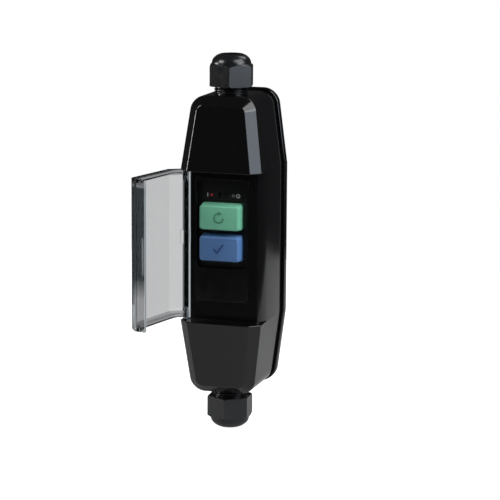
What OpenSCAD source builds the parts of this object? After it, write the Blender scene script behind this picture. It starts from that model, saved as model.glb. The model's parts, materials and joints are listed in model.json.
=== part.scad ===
// In-line residual-current adapter: a two-part case with a hinged clear lid over its
// reset and test buttons, and a cable gland at each end.
// X points right, the front faces -Y, and Z runs up along the cable axis.
// The origin is the middle of the lower gland nut's mouth. All sizes are in millimetres.

/* [Body] */
// Length of the body between its two end faces
body_len = 174; // [164:1:190]
// Width of the front shell across its straight middle
body_w = 49; // [46.6:0.2:54]
// Length of each tapered end
end_len = 43; // [40:1:47]
// How far each side draws in over a tapered end
end_narrowing = 5.7; // [4:0.1:6.5]
// Radius of the four corners, seen from the front
corner_r = 9; // [8:0.5:10]
// Distance from the cable axis to the front face
front_depth = 24.3; // [23.5:0.1:27]
// Distance from the cable axis to the rear edge of the shell's sides
side_depth = 18.5; // [17:0.5:22]
// Chamfer round the front outline, at 45 degrees
chamfer = 5.6; // [4.5:0.1:6]
// How far the front face falls back at each end
end_drop = 4.5; // [2:0.5:6]
// Wall of the front shell
wall = 3; // [2.6:0.1:3.2]

/* [Rear cover] */
// Thickness of the rear cover
cover_depth = 6.5; // [5.5:0.5:9]
// How far the cover stands out past the shell's sides
cover_overhang = 1; // [0.5:0.1:1.5]
// Width of the groove between the shell and the cover
seam_w = 6; // [4:0.5:8]
// Depth of that groove
seam_inset = 1.5; // [1:0.1:1.8]
// Thickness of the squeezed seal
seal_t = 1.8; // [1.2:0.1:2.5]
// Rounding of the cover's back edge
cover_round = 2.6; // [1.5:0.1:3]
// Skin of the cover behind its pocket
cover_skin = 2.6; // [2:0.1:3]
// Radius of a case screw's shank
case_screw_r = 1.5; // [1.2:0.1:1.8]
// Distance of the case screws from the body's ends
case_screw_in = 11; // [10:0.5:13]
// Distance of the case screws from the cable axis
case_screw_x = 12.4; // [11.6:0.1:12.6]

/* [Bay and lid] */
// Depth of the bay floor below the front face
bay_depth = 9.5; // [8.8:0.1:10]
// Thickness of the bay floor
floor_t = 2.4; // [2:0.1:3]
// Wall of the clear lid
lid_wall = 1.8; // [1.5:0.1:2]
// Gap between the lid and each step of the bay
lid_gap = 0.5; // [0.3:0.1:0.8]
// Depth of the lid from its face to its flange ends
lid_depth = 12.3; // [11.5:0.1:12.5]
// Depth of the lid's end rims
lid_rim = 5.6; // [3.5:0.1:6]
// Angle of the open lid
lid_open = 103; // [90:1:115]
// Distance of the hinge axis from the body's side
hinge_in = 1.8; // [1.6:0.1:2]
// Distance of the hinge axis from the flange end
hinge_up = 2; // [1.8:0.1:2.4]
// Radius of the hinge pins
pin_r = 0.8; // [0.6:0.05:0.9]

/* [Controls] */
// Sideways place of the control panel
panel_x = -0.8; // [-1.5:0.1:1]
// Width of the opening in the bay floor
opening_w = 29.7; // [29:0.1:31]
// Height of the opening in the bay floor
opening_h = 51.8; // [50:0.2:54]
// Distance from the upper step to the opening
opening_top = 5.2; // [4.5:0.1:7]
// Width of a button at its base
button_w = 25; // [22:0.1:25]
// Height of a button at its base
button_h = 15.6; // [14:0.1:15.8]
// Draft of a button on each side
button_draft = 0.8; // [0.4:0.1:1.2]
// How far a button stands out of the module's face
button_proud = 7.9; // [7:0.1:8.2]
// Distance between the two buttons' middles
button_pitch = 18.2; // [18.2:0.1:20]
// Distance from the upper step to the reset button's middle
reset_down = 26.7; // [26.4:0.1:27]
// Travel of a button
button_travel = 2.2; // [1.5:0.1:2.4]
// Distance from the upper step to the flag window's middle
window_down = 14.6; // [14:0.1:15]
// Travel of the contacts and their flag
contact_travel = 4.6; // [3.5:0.1:4.8]

/* [Glands] */
// Width of a gland nut across its flats
nut_af = 24; // [23:0.5:27]
// Length of a gland nut
nut_len = 18.5; // [17:0.5:22]
// Stretch of thread that shows between the body and a nut
neck_gap = 4.5; // [3:0.5:6]
// Outside radius of the thread
thread_r = 10; // [9.5:0.1:10.3]
// Pitch of the thread
thread_pitch = 1.5; // [1:0.25:2]
// Radius of a nut's mouth
mouth_r = 6.25; // [5.5:0.05:6.5]
// Radius of the cable hole in a seal
cable_r = 5.2; // [4:0.1:5.4]
// Direction of the upper nut's front corner, turned right from the front
upper_nut_turn = 13; // [-30:1:30]
// Direction of the lower nut's front corner, turned right from the front
lower_nut_turn = 4; // [-30:1:30]

/* [Fits] */
// Gap between pieces that slide past each other
slide_gap = 0.3; // [0.2:0.05:0.4]
// Gap of a hinge pin in its bearing
pin_gap = 0.05; // [0.03:0.01:0.1]
// Gap between pieces that are pushed or screwed together
seat_gap = 0.05; // [0.02:0.01:0.1]

/* [Hidden] */
$fn = 48;
eps = 0.02;
corner_steps = 8;
round_steps = 4;

half_w = body_w / 2;
body_half = body_len / 2;
bay_half = body_half - end_len;
shell_meet = bay_half - lid_gap / 2;
mid_z = nut_len + neck_gap + body_half;
taper = atan(end_narrowing / end_len);
corner_z = body_half - corner_r;
corner_x = half_w - (corner_r + (corner_z - bay_half) * sin(taper)) / cos(taper);
offset_share = tan(22.5);

cover_front = side_depth + seam_w;
cover_back = cover_front + cover_depth;
seal_front = cover_front - seal_t;
tongue_inner = seam_inset + 1.5;
boss_r = 3.6;
case_screw_z = body_half - case_screw_in;
screw_head_r = 3.1;
screw_head_h = 2.4;
screw_sink = 3;
screw_grip = 12;

floor_y = -(front_depth - bay_depth);
floor_back = floor_y + floor_t;
flange_end = -(front_depth - lid_depth);
hinge_x = -(half_w - hinge_in);
hinge_y = flange_end - hinge_up;
flange_sweep = norm([hinge_in, hinge_up]);
channel_x = hinge_x + flange_sweep + slide_gap;
channel_y = hinge_y + flange_sweep + slide_gap;
ramp_x = half_w - lid_wall - 1.5;
ramp_end = flange_end + 5.4;
cavity_x = half_w - wall;
cavity_knee = half_w - 6.4;
cavity_knee_y = ramp_end + 2.6;
lid_half = bay_half - lid_gap;
rim_t = 3.2;
pin_depth = 3;
pin_len = 7.5;
knuckle_len = pin_len - pin_depth + 1.5;
latch_len = 21.6;
latch_proud = 0.4;

plate_t = 2;
plate_back = floor_back + plate_t;
fascia_t = 0.5;
fascia_w = opening_w + 3.3;
fascia_top = opening_top - 1.7;
fascia_len = opening_h + 21.2;
opening_z = bay_half - opening_top - opening_h / 2;
reset_z = bay_half - reset_down;
test_z = reset_z - button_pitch;
window_z = bay_half - window_down;
button_front = floor_back - button_proud;
button_wall = 1.8;
cap_t = 2.5;
button_lip = 0.9;
lip_front = plate_back + slide_gap;
lip_t = 1.4;
stem_r = 1.6;
spring_r = 4;
spring_wire = 0.35;
spring_turns = 9;

board_front = 4;
board_t = 1.6;
board_back = board_front + board_t;
board_half_w = 13.6;
board_half = bay_half + 10;
plate_top = bay_half - 0.8;
plate_bottom = opening_z - opening_h / 2 - 9;
post_x = 12;
post_top = plate_top - 2.6;
post_bottom = plate_bottom + 4;
post_r = 2.2;
peg_r = 1.2;
peg_len = 1.8;
board_screw_r = 1;
board_screw_grip = 6;
board_head_r = 1.5;
board_head_h = 1.2;
switch_w = 5;
switch_h = 3.4;

window_w = 6;
window_h = 4;
window_back = plate_back + 4.2;
flag_w = 7;
flag_t = 0.8;
flag_h = 2 * contact_travel + 0.6;
flag_bottom = window_z - contact_travel / 2 - 0.15;
flag_front = window_back + slide_gap + 0.1;
arm_w = 3;
arm_h = 4;
arm_top = flag_bottom + flag_h - 0.6;
carriage_half = 7.6;
carriage_t = 3;
carriage_y = board_back + slide_gap;
carriage_h = 18;
carriage_lead = 1;
carriage_top = arm_top + carriage_lead;
carriage_bottom = carriage_top - carriage_h;
rail_w = 1.6;
rail_lip = 1;
rail_spare = 1;
bridge_t = 0.9;
bridge_h = 2.4;
bridge_len = 6;
bridge_y = carriage_y + carriage_t;
contact_top = carriage_bottom - contact_travel - slide_gap - 0.1;
contact_len = 4;
contact_w = 1.8;
contact_spread = 2;
part_gap = 1;

core_r = 10;
core_hole_r = 5.6;
core_h = 8.4;
winding_t = 1;
coil_w = 13;
coil_h = 12.4;
coil_len = 14;
coil_z = contact_top - contact_len - part_gap - coil_len;
coil_floor = 2;
core_z = coil_z - 2 * part_gap - core_r;
plunger_r = 1.5;
plunger_travel = 2;
plunger_out = contact_top - plunger_travel - slide_gap - coil_z - coil_len;

pole_pitch = 10;
terminal_w = 7;
terminal_l = 9;
terminal_h = 9.6;
terminal_top = board_back + terminal_h;
terminal_screw_r = 1.5;
terminal_screw_grip = 4;
terminal_head_r = 2.4;
terminal_head_h = 1.6;
wire_hole_r = 2.1;
wire_hole_y = board_back + 3.4;
terminal_in = 1;
terminal_z = board_half - terminal_l / 2 - terminal_in;
link_w = 5;
link_spare = 3;
link_t = 0.8;
conductor_run = core_r + 3;
conductor_bar = 2;
conductor_x = 2;
conductor_lift = 0.6;
parts_z = (plate_bottom - board_half) / 2;
capacitor_r = 2.8;
capacitor_len = 9;
chip_w = 6;
chip_h = 4.5;
chip_t = 2;
resistor_r = 1.1;
resistor_len = 5.4;
resistor_pitch = 3;

grip_z = (board_half + case_screw_z) / 2;
grip_x = cable_r + 5.4;
grip_y = cable_r - 0.6;
grip_t = 4;
grip_l = 7;
grip_post_r = 3.2;
grip_screw_r = 1.4;
grip_screw_len = 7;
grip_head_r = 2.8;
grip_head_h = 1.9;
grip_pilot = grip_screw_len + 1;
cradle_w = 12;
cradle_l = 4;

neck_len = 13;
thread_depth = 0.9;
neck_bore_r = 7.5;
neck_hole_r = cable_r + 1.1;
seal_depth = 10;
seal_proud = 3.1;
nut_thread_len = 10;
pocket_len = 3.2;
pocket_r = mouth_r + 1.95;
washer_t = 1.2;
dome_h = 5.5;
dome_bow = 8;
dome_setback = 0.6;
mouth_land = 0.2;
nut_chamfer = 0.8;

// Points of the case outline, drawn in by an inset, anticlockwise seen from the front.
function corner_arc(inset) = [
    for (i = [0 : corner_steps])
        let (t = taper + (90 - taper) * i / corner_steps)
        [corner_x + (corner_r - inset) * cos(t), corner_z + (corner_r - inset) * sin(t)]
];
function quarter(inset) = concat(
    [[half_w - inset, bay_half - inset * tan(taper / 2)]], corner_arc(inset));
function flipped(points) = [for (i = [len(points) - 1 : -1 : 0]) [-points[i][0], points[i][1]]];
function upper_outline(inset) = concat(quarter(inset), flipped(quarter(inset)));
function outline(inset) = concat(
    upper_outline(inset), [for (p = upper_outline(inset)) -p]);

// How far the front falls back at a height, and outline loops in space.
function fall(z) = max(0, abs(z) - bay_half) * end_drop / end_len;
function flat_loop(inset, y) = [for (p = outline(inset)) [p[0], y, p[1]]];
function falling_loop(inset, y) = [for (p = outline(inset)) [p[0], y + fall(p[1]), p[1]]];

// Half of the lid's section, from the flange end to the middle of the face, at a wall depth.
function lid_side(depth) = [
    [half_w - depth, flange_end],
    [half_w - depth, chamfer - front_depth + depth * offset_share],
    [half_w - chamfer - depth * offset_share, depth - front_depth]
];

// Moves a piece drawn about the middle of the body to its place.
module placed() {
    translate([0, 0, mid_z]) children();
}

// Turns a piece drawn along Z towards the rear, so that it runs along +Y.
module to_rear() {
    rotate([-90, 0, 0]) children();
}

// Draws a piece that points up from the body's upper end, or its mirror at the lower end.
module at_end(upper) {
    mirror([0, 0, upper ? 0 : 1]) translate([0, 0, body_half]) children();
}

// Fills a convex cloud of points.
module filled(points) {
    hull() polyhedron(points = points, faces = [[for (i = [0 : len(points) - 1]) i]]);
}

// Plate of the case outline between two depths.
module slab(y0, y1, inset) {
    translate([0, y1, 0]) rotate([90, 0, 0]) linear_extrude(y1 - y0) polygon(outline(inset));
}

// Block with rounded corners seen from the front, between two depths.
module round_block(w, h, r, y0, y1) {
    translate([0, y1, 0]) rotate([90, 0, 0]) linear_extrude(y1 - y0) {
        square([w - 2 * r, h], center = true);
        square([w, h - 2 * r], center = true);
        for (x = [-1, 1], z = [-1, 1])
            translate([x * (w / 2 - r), z * (h / 2 - r)]) circle(r);
    }
}

// Box centred in X and Z between two depths.
module deep_box(w, h, y0, y1) {
    translate([-w / 2, y0, -h / 2]) cube([w, y1 - y0, h]);
}

// Pan-head screw whose head starts at the origin and whose shank points to -Y.
module pan_screw(shank_r, shank_len, head_r, head_h) {
    difference() {
        union() {
            to_rear() cylinder(r = head_r, h = head_h);
            translate([0, -shank_len, 0]) to_rear() cylinder(r = shank_r, h = shank_len + eps);
        }
        for (turn = [0, 90])
            rotate([0, turn, 0]) deep_box(head_r * 1.2, head_r * 0.28, head_h * 0.45, head_h + 1);
    }
}

// Coil of round wire along +Y, starting at the origin.
module coil(r, wire_r, turns, length) {
    steps = 8;
    sides = 6;
    count = turns * steps;
    rings = [
        for (i = [0 : count], j = [0 : sides - 1])
            let (t = 360 * i / steps, u = 360 * j / sides, reach = r + wire_r * cos(u))
            [reach * cos(t), wire_r + (length - 2 * wire_r) * i / count + wire_r * sin(u), reach * sin(t)]
    ];
    walls = [
        for (i = [0 : count - 1], j = [0 : sides - 1])
            let (a = i * sides + j, b = i * sides + (j + 1) % sides)
            each [[a, a + sides, b], [b, a + sides, b + sides]]
    ];
    first = [for (j = [1 : sides - 2]) [0, j, j + 1]];
    last = [for (j = [1 : sides - 2]) [count * sides, count * sides + j + 1, count * sides + j]];
    polyhedron(points = rings, faces = concat(walls, first, last));
}

// Solid block of the body's front, drawn in by an inset and open-ended at a rear depth.
module body_block(inset, rear) {
    edge = chamfer - inset * (1 - offset_share);
    filled(concat(
        flat_loop(inset, rear),
        falling_loop(inset, edge + inset - front_depth),
        falling_loop(inset + edge, inset - front_depth)));
}

// Solid behind the bay, which the cavity leaves standing.
module bay_backing() {
    reach = half_w + 1;
    translate([0, 0, -bay_half - wall]) linear_extrude(2 * (bay_half + wall)) polygon([
        [-reach, -front_depth - 1], [reach, -front_depth - 1],
        [reach, cavity_knee_y], [cavity_x, cavity_knee_y],
        [cavity_knee, floor_back], [-cavity_knee, floor_back],
        [-cavity_x, cavity_knee_y], [-reach, cavity_knee_y]
    ]);
}

// Space of the bay: hinge channel at the left, floor, and a ramp at the right.
module bay_space() {
    reach = half_w + 1;
    ramp_slope = (ramp_end - floor_y) / (half_w - ramp_x);
    translate([0, 0, -bay_half]) linear_extrude(2 * bay_half) polygon([
        [-reach, -front_depth - 1], [reach, -front_depth - 1],
        [reach, ramp_end + ramp_slope], [ramp_x, floor_y],
        [channel_x, floor_y], [channel_x, channel_y], [-reach, channel_y]
    ]);
}

// Threaded neck of a gland, from inside the end wall outwards.
module neck() {
    root = thread_r - thread_depth;
    turns = floor((neck_len - 0.4) / thread_pitch);
    rotate_extrude() polygon(concat(
        [[0, -wall / 2], [root, -wall / 2]],
        [for (i = [0 : turns - 1]) let (z = 0.3 + i * thread_pitch) each [
            [root, z], [thread_r, z + thread_pitch * 0.38],
            [thread_r, z + thread_pitch * 0.55], [root, z + thread_pitch * 0.93]
        ]],
        [[root, neck_len], [0, neck_len]]));
}

// Bores of a neck: the seal's seat, then the cable hole into the body.
module neck_bores() {
    translate([0, 0, neck_len - seal_depth]) cylinder(r = neck_bore_r, h = seal_depth + 1);
    translate([0, 0, -wall - 1]) cylinder(r = neck_hole_r, h = neck_len + wall);
}

// Inner posts of the shell at one end: case bosses, cord-grip posts and the cable cradle.
module end_posts() {
    front = -front_depth + wall / 2;
    for (x = [-1, 1]) {
        translate([x * case_screw_x, front, case_screw_z])
            to_rear() cylinder(r = boss_r, h = cover_front - seat_gap - front);
        translate([x * grip_x, front, grip_z])
            to_rear() cylinder(r = grip_post_r, h = grip_y - front);
    }
    translate([0, 0, grip_z]) deep_box(cradle_w, cradle_l, front, -cable_r - 0.2);
}

// Pilot holes in those posts.
module end_pilots() {
    for (x = [-1, 1]) {
        translate([x * case_screw_x, cover_front - screw_grip, case_screw_z])
            to_rear() cylinder(r = case_screw_r + seat_gap, h = screw_grip + 1);
        translate([x * grip_x, grip_y - grip_pilot, grip_z])
            to_rear() cylinder(r = grip_screw_r + seat_gap, h = grip_pilot + 1);
    }
}

module shell_form() {
    difference() {
        union() {
            difference() {
                body_block(0, side_depth);
                difference() {
                    body_block(wall, side_depth + 1);
                    bay_backing();
                }
            }
            difference() {
                slab(side_depth - 1, seal_front, seam_inset);
                slab(side_depth - 2, seal_front + 1, tongue_inner);
            }
            intersection() {
                union() {
                    end_posts();
                    mirror([0, 0, 1]) end_posts();
                }
                union() {
                    body_block(wall / 2, side_depth);
                    slab(side_depth - 1, cover_front, tongue_inner + seat_gap);
                }
            }
            for (upper = [true, false]) at_end(upper) neck();
            for (x = [-1, 1], z = [post_top, post_bottom])
                translate([x * post_x, floor_back - 1, z])
                    to_rear() cylinder(r = peg_r, h = 1 + plate_t + peg_len);
        }
        bay_space();
        translate([panel_x, 0, opening_z])
            round_block(opening_w, opening_h, 2.5, floor_y - 1, floor_back + 1);
        for (upper = [true, false]) at_end(upper) neck_bores();
        end_pilots();
        mirror([0, 0, 1]) end_pilots();
        for (side = [-1, 1])
            translate([hinge_x, hinge_y, side * (bay_half + pin_depth / 2)])
                cylinder(r = pin_r + pin_gap, h = pin_depth + 1, center = true);
    }
}

// The front shell is one moulding, kept as three nodes that meet just inside the bay's steps.
module shell_stretch(low, high) {
    color([0.07, 0.07, 0.075]) placed() intersection() {
        shell_form();
        translate([-body_w, -body_w, low]) cube([2 * body_w, 2 * body_w, high - low]);
    }
}

module lower_shell() {
    shell_stretch(-mid_z, -shell_meet);
}

module middle_shell() {
    shell_stretch(-shell_meet, shell_meet);
}

module upper_shell() {
    shell_stretch(shell_meet, mid_z);
}

module rear_cover() {
    lead = 0.8;
    turn_in = [for (i = [0 : round_steps]) 90 * i / round_steps];
    color([0.08, 0.08, 0.085]) placed() difference() {
        filled(concat(
            flat_loop(lead - cover_overhang, cover_front),
            flat_loop(-cover_overhang, cover_front + lead),
            [for (t = turn_in) each flat_loop(
                cover_round * (1 - cos(t)) - cover_overhang,
                cover_back - cover_round * (1 - sin(t)))]));
        intersection() {
            slab(cover_front - 1, cover_back - cover_skin, tongue_inner + 1.5);
            deep_box(body_w, 2 * (case_screw_z - boss_r - 2), cover_front - 2, cover_back);
        }
        for (x = [-1, 1], z = [-1, 1])
            translate([x * case_screw_x, cover_front - 1, z * case_screw_z]) to_rear() {
                cylinder(r = case_screw_r + slide_gap, h = cover_depth + 2);
                translate([0, 0, 1 + cover_depth - screw_sink])
                    cylinder(r = screw_head_r + slide_gap, h = screw_sink + 1);
            }
    }
}

module perimeter_seal() {
    color([0.03, 0.03, 0.03]) placed() difference() {
        slab(seal_front, cover_front, seam_inset);
        slab(seal_front - 1, cover_front + 1, tongue_inner);
    }
}

module case_screws() {
    color([0.72, 0.72, 0.74]) placed() for (x = [-1, 1], z = [-1, 1])
        translate([x * case_screw_x, cover_back - screw_sink, z * case_screw_z])
            pan_screw(case_screw_r, cover_depth - screw_sink + screw_grip - 1, screw_head_r, screw_head_h);
}

// Turns the lid and its pins about the hinge, from closed to open.
module opened() {
    translate([hinge_x, hinge_y, 0]) rotate([0, 0, -lid_open])
        translate([-hinge_x, -hinge_y, 0]) children();
}

// Section of the closed lid down to its flange ends, solid to a wall depth.
module lid_outline(depth) {
    polygon(concat(lid_side(depth), flipped(lid_side(depth))));
}

module clear_lid() {
    inner_w = 2 * (half_w - lid_wall);
    rim_y = lid_rim - front_depth;
    scallop = flange_end - rim_y - eps;
    color([0.85, 0.9, 0.92, 0.45]) placed() opened() difference() {
        union() {
            translate([0, 0, -lid_half]) linear_extrude(2 * lid_half) difference() {
                lid_outline(0);
                translate([0, eps]) lid_outline(lid_wall);
            }
            for (z = [-lid_half, lid_half - rim_t])
                translate([0, 0, z]) linear_extrude(rim_t) difference() {
                    lid_outline(0);
                    translate([0, rim_y + scallop + 5]) square([inner_w, 10], center = true);
                    translate([0, rim_y + scallop / 2 + 1])
                        square([inner_w - 2 * scallop, scallop + 2], center = true);
                    for (x = [-1, 1])
                        translate([x * (inner_w / 2 - scallop), rim_y + scallop]) circle(scallop);
                }
            for (z = [-lid_half, lid_half - knuckle_len])
                translate([hinge_x, hinge_y, z]) cylinder(r = hinge_in, h = knuckle_len);
            translate([half_w - lid_wall - latch_proud, hinge_y - 0.6, -latch_len / 2])
                cube([latch_proud + eps, 1.2, latch_len]);
        }
        for (side = [-1, 1])
            translate([hinge_x, hinge_y, side * (lid_half - (pin_len - pin_depth) / 2)])
                cylinder(r = pin_r + seat_gap / 2, h = pin_len - pin_depth + 0.2, center = true);
    }
}

module lid_hinge_pins() {
    color([0.75, 0.75, 0.77]) placed() for (side = [-1, 1])
        translate([hinge_x, hinge_y, side * (bay_half - lid_gap - pin_len / 2 + pin_depth)])
            cylinder(r = pin_r, h = pin_len, center = true);
}

module fascia_plate() {
    color([0.05, 0.05, 0.06]) placed() difference() {
        translate([panel_x, 0, bay_half - fascia_top - fascia_len / 2])
            round_block(fascia_w, fascia_len, 4.5, floor_y - fascia_t, floor_y);
        translate([panel_x, 0, opening_z])
            round_block(opening_w, opening_h, 2.5, floor_y - 1, floor_y + 1);
    }
}

// Carrier behind the bay floor: face plate, board posts and the flag window's sleeve.
module module_frame() {
    plate_h = plate_top - plate_bottom;
    plate_half = cavity_knee - slide_gap;
    sleeve = 1;
    color([0.12, 0.12, 0.13]) placed() difference() {
        union() {
            translate([0, 0, plate_bottom + plate_h / 2])
                deep_box(2 * plate_half, plate_h, floor_back, plate_back);
            for (x = [-1, 1], z = [post_top, post_bottom])
                translate([x * post_x, plate_back - eps, z])
                    to_rear() cylinder(r = post_r, h = board_front - plate_back + eps);
            translate([panel_x, 0, window_z])
                deep_box(window_w + 2 * sleeve, window_h + 2 * sleeve, plate_back - eps, window_back);
        }
        for (z = [reset_z, test_z])
            translate([panel_x, 0, z]) round_block(
                button_w + 2 * slide_gap, button_h + 2 * slide_gap, 2, floor_back - 1, plate_back + 1);
        translate([panel_x, 0, window_z]) deep_box(
            window_w + 2 * seat_gap, window_h + 2 * seat_gap, floor_back - 1, window_back + 1);
        for (x = [-1, 1], z = [post_top, post_bottom]) {
            translate([x * post_x, floor_back - 1, z])
                to_rear() cylinder(r = peg_r + seat_gap, h = 1.2 + plate_t + peg_len);
            translate([x * post_x, board_front - board_screw_grip, z])
                to_rear() cylinder(r = board_screw_r + seat_gap, h = board_screw_grip + 1);
        }
    }
}

module indicator_window() {
    color([0.8, 0.85, 0.85, 0.6]) placed() translate([panel_x, 0, window_z])
        deep_box(window_w, window_h, floor_back, window_back);
}

module indicator_flag() {
    color([0.6, 0.08, 0.06]) placed() translate([panel_x, 0, flag_bottom + flag_h / 2])
        deep_box(flag_w, flag_h, flag_front, flag_front + flag_t);
}

// Push button: drafted cap, straight neck through the face plate, inner lip and stem.
module push_button(z) {
    neck_front = floor_back - 0.6;
    hollow_w = button_w - 2 * button_wall - 2 * button_draft;
    hollow_h = button_h - 2 * button_wall - 2 * button_draft;
    cap_back = button_front + cap_t;
    translate([panel_x, 0, z]) difference() {
        union() {
            hull() {
                round_block(button_w - 2 * button_draft, button_h - 2 * button_draft, 1.8,
                    button_front, button_front + 0.1, $fn = 32);
                round_block(button_w, button_h, 1.8, neck_front - 0.1, neck_front, $fn = 32);
            }
            round_block(button_w, button_h, 1.8, neck_front - eps, lip_front + lip_t);
            round_block(button_w + 2 * button_lip, button_h + 2 * button_lip, 1.8,
                lip_front, lip_front + lip_t);
        }
        difference() {
            deep_box(hollow_w, hollow_h, cap_back, lip_front + lip_t + 1);
            translate([0, cap_back - 1, 0]) to_rear()
                cylinder(r = stem_r, h = board_front - switch_h - button_travel - slide_gap - cap_back + 1);
        }
    }
    translate([panel_x, lip_front + lip_t - eps, z]) to_rear() cylinder(r = stem_r,
        h = board_front - switch_h - button_travel - slide_gap - lip_front - lip_t + eps);
}

module reset_button() {
    color([0.38, 0.64, 0.51]) placed() push_button(reset_z);
}

module test_button() {
    color([0.27, 0.39, 0.6]) placed() push_button(test_z);
}

// Return spring between a button's cap and the board.
module button_spring(z) {
    start = button_front + cap_t + 0.1;
    translate([panel_x, start, z]) coil(spring_r, spring_wire, spring_turns, board_front - start - 0.1);
}

module reset_spring() {
    color([0.8, 0.8, 0.82]) placed() button_spring(reset_z);
}

module test_spring() {
    color([0.8, 0.8, 0.82]) placed() button_spring(test_z);
}

module circuit_board() {
    slot_h = arm_h + contact_travel + 2 * slide_gap;
    color([0.1, 0.32, 0.18]) placed() difference() {
        deep_box(2 * board_half_w, 2 * board_half, board_front, board_back);
        translate([panel_x, 0, arm_top + slide_gap - slot_h / 2])
            deep_box(arm_w + 2 * slide_gap, slot_h, board_front - 1, board_back + 1);
        for (x = [-1, 1], z = [post_top, post_bottom])
            translate([x * post_x, board_front - 1, z])
                to_rear() cylinder(r = board_screw_r + seat_gap, h = board_t + 2);
    }
}

module board_screws() {
    color([0.75, 0.75, 0.77]) placed() for (x = [-1, 1], z = [post_top, post_bottom])
        translate([x * post_x, board_back, z])
            pan_screw(board_screw_r, board_t + board_screw_grip - 0.5, board_head_r, board_head_h);
}

// Two push switches on the front of the board, under the buttons' stems.
module push_switches() {
    color([0.2, 0.2, 0.22]) placed() for (z = [reset_z, test_z]) translate([panel_x, 0, z]) {
        deep_box(switch_w, switch_w, board_front - switch_h + 0.8, board_front);
        translate([0, board_front - switch_h, 0]) to_rear() cylinder(r = stem_r, h = 1);
    }
}

// Small parts soldered to the front of the board: a capacitor, a chip and resistors.
module circuit_components() {
    color([0.25, 0.3, 0.45]) placed() translate([0, 0, parts_z]) {
        translate([-chip_w - capacitor_r, board_front - capacitor_len, 0])
            to_rear() cylinder(r = capacitor_r, h = capacitor_len);
        translate([-chip_w / 2, 0, 0]) deep_box(chip_w, chip_h, board_front - chip_t, board_front);
        for (i = [1 : 3])
            translate([resistor_pitch * i, board_front - resistor_r, 0])
                cylinder(r = resistor_r, h = resistor_len, center = true);
    }
}

module sensing_core() {
    color([0.35, 0.35, 0.37]) placed() translate([0, board_back + winding_t, core_z]) to_rear()
        difference() {
            cylinder(r = core_r - winding_t, h = core_h - 2 * winding_t);
            translate([0, 0, -1]) cylinder(r = core_hole_r + winding_t, h = core_h);
        }
}

// Wound third of the sensing core, as a sleeve of copper round it.
module sensing_winding() {
    color([0.72, 0.42, 0.2]) placed() translate([0, board_back, core_z]) to_rear()
        for (turn = [0, 180]) rotate([0, 0, turn - 50]) rotate_extrude(angle = 100) difference() {
            translate([core_hole_r, 0]) square([core_r - core_hole_r, core_h]);
            translate([core_hole_r + winding_t - seat_gap, winding_t - seat_gap]) square([
                core_r - core_hole_r - 2 * (winding_t - seat_gap), core_h - 2 * (winding_t - seat_gap)]);
        }
}

// Live and neutral bars that pass up through the sensing core and back to the board.
module line_conductors() {
    bar = conductor_bar;
    top = board_back + core_h + conductor_lift;
    color([0.78, 0.5, 0.28]) placed() for (x = [-1, 1]) translate([x * conductor_x, 0, core_z]) {
        deep_box(bar, bar, board_back, top + bar);
        translate([0, 0, -conductor_run / 2]) deep_box(bar, conductor_run + bar, top, top + bar);
        translate([0, 0, -conductor_run]) deep_box(bar, bar, board_back, top + bar);
    }
}

// Two lipped rails that guide the contact carriage on the rear of the board.
module contact_base() {
    rail_x = carriage_half + slide_gap;
    rail_h = carriage_h + contact_travel + 2 * rail_spare;
    lip_y = carriage_y + carriage_t + slide_gap;
    color([0.16, 0.16, 0.17]) placed() translate([panel_x, 0, carriage_top + rail_spare - rail_h / 2])
        for (side = [-1, 1]) {
            translate([side * (rail_x + rail_w / 2), 0, 0])
                deep_box(rail_w, rail_h, board_back, lip_y + rail_lip);
            translate([side * (rail_x + rail_w / 2 - rail_lip / 2), 0, 0])
                deep_box(rail_w + rail_lip, rail_h, lip_y, lip_y + rail_lip);
        }
}

// Sliding carriage with the arm that carries the flag through the board.
module contact_carriage() {
    color([0.85, 0.83, 0.75]) placed() translate([panel_x, 0, 0]) {
        translate([0, 0, carriage_bottom + carriage_h / 2])
            deep_box(2 * carriage_half, carriage_h, carriage_y, carriage_y + carriage_t);
        translate([0, 0, arm_top - arm_h / 2])
            deep_box(arm_w, arm_h, flag_front + flag_t, carriage_y + eps);
    }
}

// Bridging strips on the carriage, one for each pole.
module moving_contacts() {
    color([0.8, 0.55, 0.3]) placed() for (side = [-1, 1])
        translate([panel_x + side * carriage_half / 2, 0, carriage_bottom + bridge_h / 2])
            deep_box(bridge_len, bridge_h, bridge_y, bridge_y + bridge_t);
}

// Fixed contact posts on the board, two for each pole.
module fixed_contacts() {
    color([0.8, 0.62, 0.3]) placed() translate([panel_x, 0, contact_top - contact_len / 2])
        for (pole = [-1, 1], leg = [-1, 1])
            translate([pole * carriage_half / 2 + leg * contact_spread, 0, 0])
                deep_box(contact_w, contact_len, board_back, bridge_y + bridge_t);
}

module trip_coil() {
    color([0.3, 0.16, 0.1]) placed() translate([0, 0, coil_z + coil_len / 2]) difference() {
        deep_box(coil_w, coil_len, board_back, board_back + coil_h);
        translate([0, board_back + coil_h / 2, coil_floor - coil_len / 2])
            cylinder(r = plunger_r + pin_gap, h = coil_len);
    }
}

module trip_plunger() {
    color([0.7, 0.7, 0.72]) placed() translate([0, board_back + coil_h / 2, coil_z + coil_floor + slide_gap])
        cylinder(r = plunger_r, h = coil_len - coil_floor - slide_gap + plunger_out);
}

// Row of three brass terminals at one end of the board.
module terminal_row() {
    for (pole = [-1 : 1]) translate([pole * pole_pitch, 0, terminal_z]) difference() {
        deep_box(terminal_w, terminal_l, board_back, terminal_top);
        translate([0, wire_hole_y, -terminal_l]) cylinder(r = wire_hole_r, h = 2 * terminal_l);
        translate([0, wire_hole_y, 0]) to_rear()
            cylinder(r = terminal_screw_r + seat_gap, h = terminal_h);
    }
}

module supply_terminals() {
    color([0.8, 0.66, 0.32]) placed() terminal_row();
}

module load_terminals() {
    color([0.8, 0.66, 0.32]) placed() mirror([0, 0, 1]) terminal_row();
}

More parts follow.
